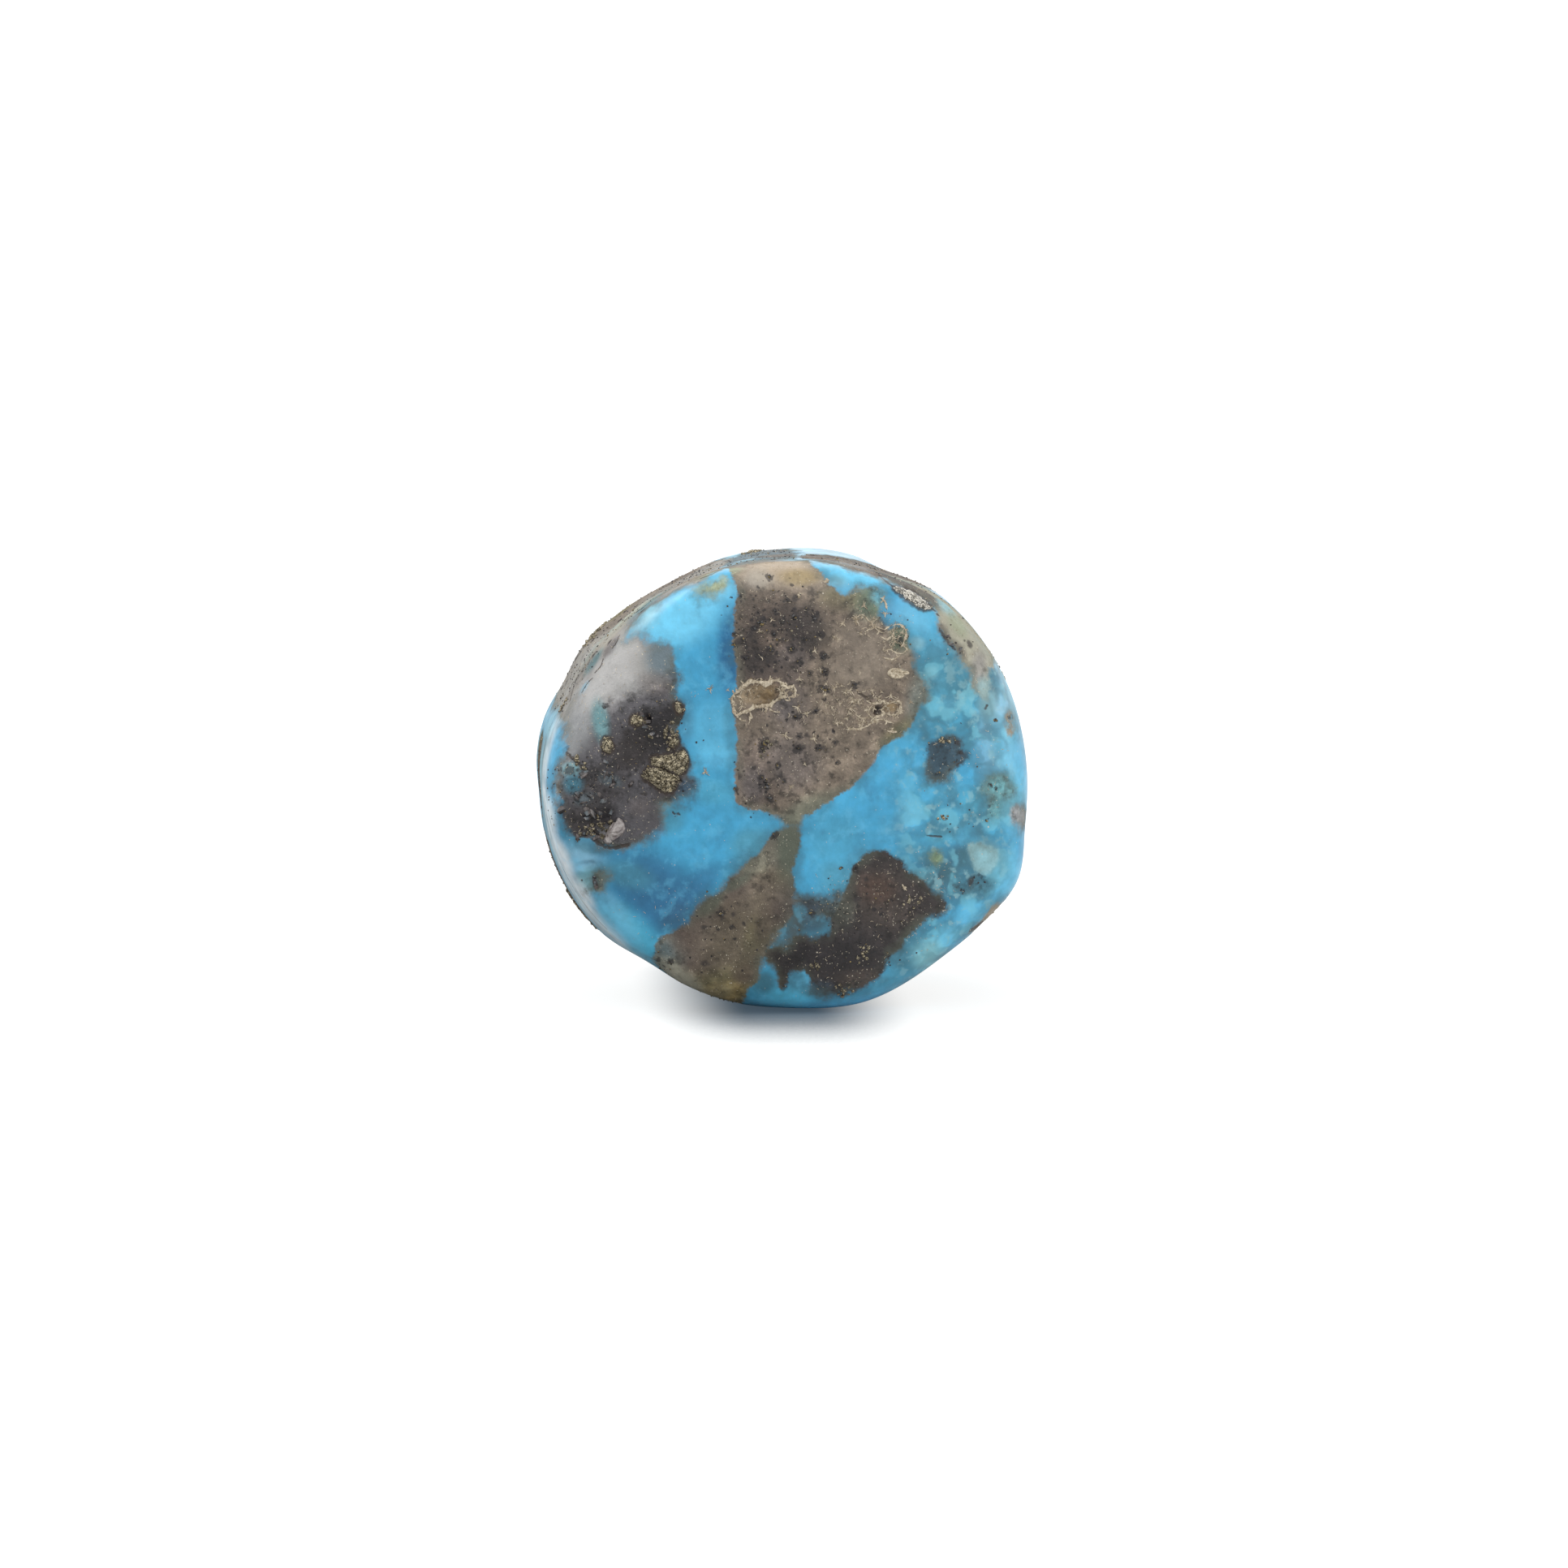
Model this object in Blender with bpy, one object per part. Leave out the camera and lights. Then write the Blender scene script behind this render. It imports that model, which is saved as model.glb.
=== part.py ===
"""A polished turquoise nugget, one stone about 20 mm across, standing on a small worn flat.

Run with: blender --background --python part.py
Units are metres in Blender and millimetres in the design values below. +Z is up, the broad
domed face looks along -Y, and the origin is at the bottom centre of the stone's box.

The stone is a barrel lying along Y. Its outline is given clock-wise, as seen from the front: how
far the rim of the face and the girth behind it stand from the barrel's axis, and how tight the
shoulder between face and side is. Hollows, lumps and pits are then worked into that form.
"""

import math
from collections import namedtuple

import bmesh
import bpy
import numpy as np
from mathutils import Vector, noise

MM = 0.001

# --- Driving dimensions, in millimetres -----------------------------------------------------
AXIS_HEIGHT = 10.05  # barrel axis above the surface that the stone stands on
FACE_DEPTH = 7.0  # from the girth's middle forward to the rim of the face
BACK_DEPTH = 7.0  # from the girth's middle back to the rear
GIRTH_SETBACK = 0.5  # the widest place lies this far behind the middle
DOME_HEIGHT = 0.35  # crown of the face in front of its rim
DOME_RADIUS = 10.0  # where the crown has run out
TAIL_SHARE = 0.84  # width of the rear end against the girth
REAR_ROUNDNESS = 3.2  # low is round, high is square
REAR_LEAN = Vector((-0.11, 0.0, -0.09))  # the rear reaches further back towards this side
LUMP_SPAN = 4.5  # from one lump of the worn surface to the next
FACE_LUMP = 0.07  # what hand polishing leaves of the lumps on the face
REAR_LUMP = 0.42
REAR_LUMP_START = 0.15  # the rear's lumps begin this far in front of the middle

# Clock angle from +X towards +Z, in degrees; rim and girth radius in mm; shoulder sharpness.
Station = namedtuple("Station", "clock rim girth shoulder")
OUTLINE = (
    Station(0, 10.35, 10.55, 9),
    Station(20, 10.15, 10.35, 9),
    Station(45, 9.80, 10.00, 9),
    Station(60, 9.32, 9.36, 9),
    Station(75, 9.05, 9.10, 10),
    Station(90, 8.80, 8.80, 12),
    Station(115, 9.10, 8.55, 10),
    Station(135, 9.10, 8.80, 7),
    Station(150, 8.90, 9.12, 6.5),
    Station(160, 9.15, 9.20, 7.5),
    Station(170, 9.40, 9.60, 9),
    Station(180, 9.53, 9.82, 14),
    Station(190, 9.60, 9.85, 20),
    Station(210, 9.40, 10.25, 26),
    Station(225, 9.30, 10.28, 26),
    Station(236, 9.28, 9.99, 22),
    Station(245, 9.50, 10.00, 18),
    Station(270, 9.55, 10.55, 14),
    Station(290, 10.15, 10.75, 12),
    Station(310, 10.45, 10.65, 10),
    Station(322, 10.70, 10.92, 10),
    Station(335, 11.00, 11.20, 12),
    Station(347, 10.55, 10.75, 10),
)

# Hollows in the face: place across and above the axis, half length, half width, turn in degrees
# and depth. A negative depth is a lump that stands proud.
Hollow = namedtuple("Hollow", "across above length width turn depth")
HOLLOWS = {
    "long_vug": Hollow(-0.75, 3.35, 1.05, 0.50, 8, 0.30),
    "right_vug": Hollow(4.05, 2.75, 0.42, 0.34, 20, 0.22),
    "corner_vug": Hollow(4.75, 5.40, 0.62, 0.40, 60, 0.18),
    "left_black_hole": Hollow(-5.55, 2.45, 0.28, 0.22, 90, 0.30),
    "left_ledge": Hollow(-7.35, -2.00, 1.00, 0.50, 20, 0.32),
    "lower_pit": Hollow(-8.05, -3.60, 0.50, 0.28, 10, 0.18),
    "pyrite_nodule": Hollow(-4.85, 0.35, 0.95, 0.80, 35, -0.14),
    "pyrite_finger": Hollow(-4.55, 1.75, 0.35, 0.75, 10, -0.10),
    "pyrite_bead": Hollow(-7.25, 1.25, 0.32, 0.42, 20, -0.10),
    "rim_plate": Hollow(5.30, 7.15, 0.80, 0.30, -35, -0.10),
    "quartz_chip": Hollow(-6.90, -2.20, 0.42, 0.34, 60, -0.22),
}

# Pits and broad dimples on the side and the rear follow a spiral.
Pit = namedtuple("Pit", "radius depth")
PIT_KINDS = (Pit(0.60, 0.18), Pit(2.10, 0.22), Pit(1.20, 0.30), Pit(2.60, 0.30))
PIT_COUNT = 13
PIT_FURTHEST_FORWARD = -0.25  # the spiral starts here, as the Y part of a unit direction
GOLDEN_ANGLE = math.pi * (3 - math.sqrt(5))

# The shell starts as an icosphere. Its edges are halved where the form turns or is worked.
SHELL_SUBDIVISIONS = 5
SHOULDER_FROM, SHOULDER_TO = 0.74, 0.96  # shares of the way from the axis to the girth
SHOULDER_DEPTH = 4.0  # the shoulder lies at least this far in front of the middle
FINE_BELOW = 1.1  # what is smaller than this gets finer facets, in it and round it
FINE_REACH = 1.25  # they reach this many times as far as its edge
RAY_STEPS = 30
FLAT_SNAP = 0.08  # a vertex this near to the surface underneath is moved onto it
SHARP_FROM = math.radians(40)
STONE_COLOUR = (0.045, 0.36, 0.62, 1.0)
STONE_ROUGHNESS = 0.32


def clock_curve(values):
    """A smooth closed curve through one value for each station, as a function of clock angle."""
    angles = np.array([s.clock for s in OUTLINE], float)
    values = np.array(values, float)
    knots = np.concatenate([angles[-2:] - 360, angles, angles[:2] + 360])
    heights = np.concatenate([values[-2:], values, values[:2]])

    def at(clock):
        clock = np.mod(clock, 360.0)
        i = np.clip(np.searchsorted(knots, clock, side="right") - 1, 1, len(knots) - 3)
        span = knots[i + 1] - knots[i]
        t = (clock - knots[i]) / span
        leave = (heights[i + 1] - heights[i - 1]) / (knots[i + 1] - knots[i - 1]) * span
        arrive = (heights[i + 2] - heights[i]) / (knots[i + 2] - knots[i]) * span
        return (
            (2 * t**3 - 3 * t**2 + 1) * heights[i]
            + (t**3 - 2 * t**2 + t) * leave
            + (3 * t**2 - 2 * t**3) * heights[i + 1]
            + (t**3 - t**2) * arrive
        )

    return at


RIM = clock_curve([s.rim for s in OUTLINE])
GIRTH = clock_curve([s.girth for s in OUTLINE])
SHOULDER = clock_curve([s.shoulder for s in OUTLINE])


def barrel(directions):
    """Where rays from the barrel's middle meet the smooth stone, in mm about that middle."""
    clock = np.degrees(np.arctan2(directions[:, 2], directions[:, 0]))
    outward = np.hypot(directions[:, 0], directions[:, 2])
    along = directions[:, 1]
    in_front = along < 0
    depth = np.where(in_front, FACE_DEPTH, BACK_DEPTH * (1 + directions @ REAR_LEAN))
    power = np.where(in_front, SHOULDER(clock), REAR_ROUNDNESS)
    rim, girth = RIM(clock), GIRTH(clock)
    reach = np.full(len(directions), FACE_DEPTH)
    for _ in range(RAY_STEPS):
        y = reach * along - GIRTH_SETBACK
        ahead = y < 0
        span = np.where(ahead, FACE_DEPTH + GIRTH_SETBACK, BACK_DEPTH - GIRTH_SETBACK)
        end = np.where(ahead, rim, TAIL_SHARE * girth)
        side = girth - (girth - end) * (y / span) ** 2
        size = (reach * np.abs(along) / depth) ** power + (reach * outward / side) ** power
        reach = reach / size ** (1 / power)
    points = directions * reach[:, None]
    forward = np.clip(-points[:, 1] / FACE_DEPTH, 0, 1)
    spread = (points[:, 0] ** 2 + points[:, 2] ** 2) / DOME_RADIUS**2
    points[:, 1] -= DOME_HEIGHT * forward * (1 - spread)
    return points


def hollow_share(hollow, points):
    """How far each point on the face lies from a hollow's middle, 1 being the hollow's edge."""
    turn = math.radians(hollow.turn)
    across, above = points[:, 0] - hollow.across, points[:, 2] - hollow.above
    lengthwise = across * math.cos(turn) + above * math.sin(turn)
    widthwise = above * math.cos(turn) - across * math.sin(turn)
    share = np.hypot(lengthwise / hollow.length, widthwise / hollow.width)
    return np.where(points[:, 1] < 0, share, np.inf)


def pit_middles():
    """The middles of the pits, spread evenly over the side and rear along a spiral."""
    turns = np.arange(PIT_COUNT) * GOLDEN_ANGLE
    steps = (np.arange(PIT_COUNT) + 0.5) / PIT_COUNT
    along = PIT_FURTHEST_FORWARD + (1 - PIT_FURTHEST_FORWARD) * steps
    outward = np.sqrt(1 - along**2)
    return barrel(np.stack([outward * np.cos(turns), along, outward * np.sin(turns)], axis=1))


def worked_places(points):
    """For each hollow, lump and pit: its size, its depth and every point's share of its reach."""
    for hollow in HOLLOWS.values():
        yield hollow.length, hollow.depth, hollow_share(hollow, points)
    for i, middle in enumerate(pit_middles()):
        pit = PIT_KINDS[i % len(PIT_KINDS)]
        yield pit.radius, pit.depth, np.linalg.norm(points - middle, axis=1) / pit.radius


def soft_bump(share):
    """1 at the middle of a hollow and 0 from its edge outwards, with no crease."""
    inside = np.clip(1 - share, 0, 1)
    return inside * inside * (3 - 2 * inside)


def skin(directions):
    """The stone's surface along each direction: the barrel, its waviness and what is worked in."""
    points = barrel(directions)
    rearward = soft_bump(1 - np.clip(directions[:, 1] + REAR_LUMP_START, 0, 1))
    height = FACE_LUMP + (REAR_LUMP - FACE_LUMP) * rearward
    height *= np.array([noise.noise(Vector(p) / LUMP_SPAN) for p in points])
    for _, depth, share in worked_places(points):
        height -= depth * soft_bump(share)
    return points + directions * height[:, None]


def on_shoulder(points):
    """Which points lie on the turn from the face to the side."""
    clock = np.degrees(np.arctan2(points[:, 2], points[:, 0]))
    share = np.hypot(points[:, 0], points[:, 2]) / GIRTH(clock)
    return (points[:, 1] < -SHOULDER_DEPTH) & (share > SHOULDER_FROM) & (share < SHOULDER_TO)


def near_small_work(points):
    """Which points lie in or beside a hollow, lump or pit that is too small for wide facets."""
    near = [s < FINE_REACH for size, _, s in worked_places(points) if size < FINE_BELOW]
    return np.any(near, axis=0)


def halve_edges(shell, wanted):
    """Halves the shell's edges whose middles are wanted, keeping every vertex a unit direction."""
    middles = np.array([(e.verts[0].co + e.verts[1].co).normalized() for e in shell.edges])
    chosen = [e for e, wants in zip(shell.edges[:], wanted(barrel(middles))) if wants]
    bmesh.ops.subdivide_edges(shell, edges=chosen, cuts=1, use_grid_fill=True)
    bmesh.ops.triangulate(shell, faces=shell.faces[:])
    for vert in shell.verts:
        vert.co.normalize()


def stand_on_flat(shell):
    """Cuts off what would reach below the surface that the stone stands on, and caps the cut."""
    bmesh.ops.bisect_plane(
        shell,
        geom=shell.verts[:] + shell.edges[:] + shell.faces[:],
        dist=FLAT_SNAP * MM,
        plane_co=(0, 0, 0),
        plane_no=(0, 0, -1),
        use_snap_center=True,
        clear_outer=True,
    )
    bmesh.ops.edgeloop_fill(shell, edges=[e for e in shell.edges if e.is_boundary])
    bmesh.ops.recalc_face_normals(shell, faces=shell.faces[:])


def centre_on_base(shell):
    """Moves the stone sideways so that the origin is under the middle of its box."""
    corners = np.array([v.co for v in shell.verts])
    middle = (corners.min(axis=0) + corners.max(axis=0)) / 2
    bmesh.ops.translate(shell, verts=shell.verts[:], vec=(-middle[0], -middle[1], 0))


def stone_material():
    material = bpy.data.materials.new("turquoise")
    material.use_nodes = True
    surface = material.node_tree.nodes["Principled BSDF"]
    surface.inputs["Base Color"].default_value = STONE_COLOUR
    surface.inputs["Roughness"].default_value = STONE_ROUGHNESS
    surface.inputs["Metallic"].default_value = 0.0
    return material


def make_nugget():
    """The whole stone as one solid."""
    shell = bmesh.new()
    bmesh.ops.create_icosphere(shell, subdivisions=SHELL_SUBDIVISIONS, radius=1)
    for wanted in (on_shoulder, near_small_work, near_small_work):
        halve_edges(shell, wanted)
    surface = skin(np.array([v.co for v in shell.verts]))
    for vert, (x, y, z) in zip(shell.verts, surface):
        vert.co = Vector((x, y, z + AXIS_HEIGHT)) * MM
    stand_on_flat(shell)
    centre_on_base(shell)
    mesh = bpy.data.meshes.new("turquoise_nugget")
    shell.to_mesh(mesh)
    shell.free()
    mesh.shade_smooth()
    mesh.set_sharp_from_angle(angle=SHARP_FROM)
    mesh.materials.append(stone_material())
    nugget = bpy.data.objects.new("turquoise_nugget", mesh)
    bpy.context.scene.collection.objects.link(nugget)


for old in list(bpy.data.objects):
    bpy.data.objects.remove(old)
make_nugget()
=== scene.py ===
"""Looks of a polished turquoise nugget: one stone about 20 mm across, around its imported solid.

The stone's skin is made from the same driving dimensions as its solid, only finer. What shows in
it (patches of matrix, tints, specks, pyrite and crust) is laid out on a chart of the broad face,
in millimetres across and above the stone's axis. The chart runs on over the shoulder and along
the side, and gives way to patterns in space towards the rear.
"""

import math
import random
from collections import namedtuple
from functools import partial

import bmesh
import bpy
import numpy as np
from mathutils import Matrix, Vector, kdtree, noise
from mathutils.geometry import delaunay_2d_cdt


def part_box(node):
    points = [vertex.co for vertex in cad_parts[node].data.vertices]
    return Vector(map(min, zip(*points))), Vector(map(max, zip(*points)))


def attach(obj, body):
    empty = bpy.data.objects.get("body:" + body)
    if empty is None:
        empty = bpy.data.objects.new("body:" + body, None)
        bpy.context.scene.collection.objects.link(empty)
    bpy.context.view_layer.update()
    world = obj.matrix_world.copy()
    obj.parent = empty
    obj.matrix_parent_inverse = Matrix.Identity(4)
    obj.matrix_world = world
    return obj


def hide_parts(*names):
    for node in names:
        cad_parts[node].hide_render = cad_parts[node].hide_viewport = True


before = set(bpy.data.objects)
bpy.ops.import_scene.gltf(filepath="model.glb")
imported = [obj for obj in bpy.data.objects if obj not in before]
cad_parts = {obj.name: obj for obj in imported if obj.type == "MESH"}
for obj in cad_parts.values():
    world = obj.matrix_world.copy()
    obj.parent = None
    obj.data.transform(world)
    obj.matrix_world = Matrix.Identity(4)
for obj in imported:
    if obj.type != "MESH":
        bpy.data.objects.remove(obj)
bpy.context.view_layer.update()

MM = 0.001
NODE = "turquoise_nugget"


def rows_of(kind, rows):
    """A table's rows as named tuples."""
    return [kind(*row) for row in rows]


# --- Form of the stone, in millimetres, as in its solid -------------------------------------------
AXIS_HEIGHT = 10.05  # barrel axis above the surface that the stone stands on
FACE_DEPTH = 7.0  # from the girth's middle forward to the rim of the face
BACK_DEPTH = 7.0  # from the girth's middle back to the rear
GIRTH_SETBACK = 0.5  # the widest place lies this far behind the middle
DOME_HEIGHT = 0.35  # crown of the face in front of its rim
DOME_RADIUS = 10.0  # where the crown has run out
TAIL_SHARE = 0.84  # width of the rear end against the girth
REAR_ROUNDNESS = 3.2  # low is round, high is square
REAR_LEAN = np.array([-0.11, 0.0, -0.09])  # the rear reaches further back towards this side
LUMP_SPAN = 4.5  # from one lump of the worn surface to the next
FACE_LUMP = 0.07  # what hand polishing leaves of the lumps on the face
REAR_LUMP = 0.42
REAR_LUMP_START = 0.15  # the rear's lumps begin this far in front of the middle

# Clock angle from +X towards +Z, in degrees; rim and girth radius in mm; shoulder sharpness.
Station = namedtuple("Station", "clock rim girth shoulder")
OUTLINE = rows_of(Station, (
    (0, 10.35, 10.55, 9), (20, 10.15, 10.35, 9), (45, 9.80, 10.00, 9), (60, 9.32, 9.36, 9),
    (75, 9.05, 9.10, 10), (90, 8.80, 8.80, 12), (115, 9.10, 8.55, 10), (135, 9.10, 8.80, 7),
    (150, 8.90, 9.12, 6.5), (160, 9.15, 9.20, 7.5), (170, 9.40, 9.60, 9), (180, 9.53, 9.82, 14),
    (190, 9.60, 9.85, 20), (210, 9.40, 10.25, 26), (225, 9.30, 10.28, 26), (236, 9.28, 9.99, 22),
    (245, 9.50, 10.00, 18), (270, 9.55, 10.55, 14), (290, 10.15, 10.75, 12),
    (310, 10.45, 10.65, 10), (322, 10.70, 10.92, 10), (335, 11.00, 11.20, 12),
    (347, 10.55, 10.75, 10),
))

# Hollows in the face: place across and above the axis, half length, half width, turn in degrees
# and depth. A negative depth is a lump that stands proud.
Hollow = namedtuple("Hollow", "across above length width turn depth")
HOLLOWS = (
    Hollow(-0.75, 3.35, 1.05, 0.50, 8, 0.30),  # long vug
    Hollow(4.05, 2.75, 0.42, 0.34, 20, 0.22),  # right vug
    Hollow(4.75, 5.40, 0.62, 0.40, 60, 0.18),  # corner vug
    Hollow(-5.55, 2.45, 0.28, 0.22, 90, 0.30),  # black hole at the left
    Hollow(-7.35, -2.00, 1.00, 0.50, 20, 0.32),  # ledge at the left
    Hollow(-8.05, -3.60, 0.50, 0.28, 10, 0.18),  # lower pit
    Hollow(-4.85, 0.35, 0.95, 0.80, 35, -0.14),  # pyrite nodule
    Hollow(-4.55, 1.75, 0.35, 0.75, 10, -0.10),  # pyrite finger
    Hollow(-7.25, 1.25, 0.32, 0.42, 20, -0.10),  # pyrite bead
    Hollow(5.30, 7.15, 0.80, 0.30, -35, -0.10),  # silvery plate at the rim
    Hollow(-6.90, -2.20, 0.42, 0.34, 60, -0.22),  # quartz chip
)

# Pits and broad dimples on the side and the rear follow a spiral.
Pit = namedtuple("Pit", "radius depth")
PIT_KINDS = (Pit(0.60, 0.18), Pit(2.10, 0.22), Pit(1.20, 0.30), Pit(2.60, 0.30))
PIT_COUNT = 13
PIT_FURTHEST_FORWARD = -0.25  # the spiral starts here, as the Y part of a unit direction
GOLDEN_ANGLE = math.pi * (3 - math.sqrt(5))

# --- Mesh of the skin -----------------------------------------------------------------------------
RAY_STEPS = 30
SHELL_SUBDIVISIONS = 7
FACE_FROM = -0.35  # directions whose Y part is less than this get half the edge length
FINE_REACH = 1.35  # round small hollows, as a share of their size, edges are halved once more
FINE_BELOW = 1.1  # hollows smaller than this, in mm, count as small
FLAT_ROUNDING = 0.15  # mm over which the flat underneath turns into the side
ROUGH_FLOOR = 0.07  # how far the broken floor of a hollow goes up and down
ROUGH_SPAN = 0.22
MATRIX_SETBACK = 0.018  # the softer matrix is polished down this far below the blue
CREVICE_DEPTH, CREVICE_WIDTH = 0.10, 0.07  # mm, of the crevice across the pyrite nodule
ON_FACE_FROM, ON_FACE_FULL = 4.0, 5.5  # mm in front of the middle, where the face's fields fade in

# --- Sight along which the chart is drawn, and the camera -----------------------------------------
SIGHT_AZIMUTH, SIGHT_ELEVATION = -4.5, 7.0  # degrees
SIGHT_DISTANCE = 214.67  # mm from the middle of the face
CAMERA_ASIDE, CAMERA_ABOVE = 0.067, -0.267  # mm that the lens stands beside the face's middle
LENS, SENSOR = 120.0, 36.0
WRAP_FROM = -5.4  # from this depth back, the chart runs on along the side in true length
SPACE_FROM, SPACE_FULL = 1.0, 5.0  # depths between which the patterns in space take over

# --- Colours, as they look in white light, some of them painted light and shade -------------------
SWATCHES = {
    "mid": (68, 162, 204),
    "sky": (112, 202, 238),
    "bright": (80, 184, 232),
    "deep": (34, 104, 150),
    "dull_deep": (50, 106, 146),
    "cyan": (84, 180, 212),
    "teal": (76, 156, 184),
    "dull_teal": (78, 146, 168),
    "dark_teal": (60, 104, 118),
    "pale": (142, 190, 200),
    "pale_cyan": (120, 198, 218),
    "green_blue": (94, 148, 156),
    "greige": (122, 110, 97),
    "grey_brown": (112, 100, 92),
    "brown": (88, 76, 68),
    "rust": (96, 66, 50),
    "dark": (48, 43, 43),
    "black": (28, 25, 28),
    "mauve": (174, 173, 172),
    "lilac": (100, 92, 90),
    "smoky_grey": (84, 82, 86),
    "olive": (112, 106, 76),
    "olive_yellow": (152, 132, 84),
    "tan": (174, 158, 138),
    "slate": (50, 74, 88),
    "smoke": (52, 65, 76),
    "green": (88, 106, 88),
    "teal_grey": (104, 142, 148),
    "steel": (62, 112, 130),
    "slate_grey": (108, 124, 132),
    "steel_dark": (60, 86, 106),
    "haze": (170, 163, 152),
    "veil": (150, 160, 132),
    "algae": (118, 142, 112),
    "light_sky": (168, 242, 255),
    "pale_lilac": (234, 248, 255),
    "pale_sage": (178, 184, 174),
    "mist": (138, 140, 142),
    "tip": (120, 119, 104),
    "sage": (112, 118, 112),
    "moss": (86, 92, 80),
    "pale_blue": (150, 192, 212),
    "bottom": (60, 94, 106),
    "tan_grey": (166, 163, 146),
    "stone_grey": (150, 147, 142),
    "bark": (90, 79, 73),
    "ochre": (138, 118, 88),
    "pit": (50, 38, 30),
    "dusty": (204, 196, 178),
}


def linear(swatch):
    """A swatch as linear red, green and blue."""
    share = np.array(SWATCHES[swatch]) / 255
    return np.where(share <= 0.04045, share / 12.92, ((share + 0.055) / 1.055) ** 2.4)


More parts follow.
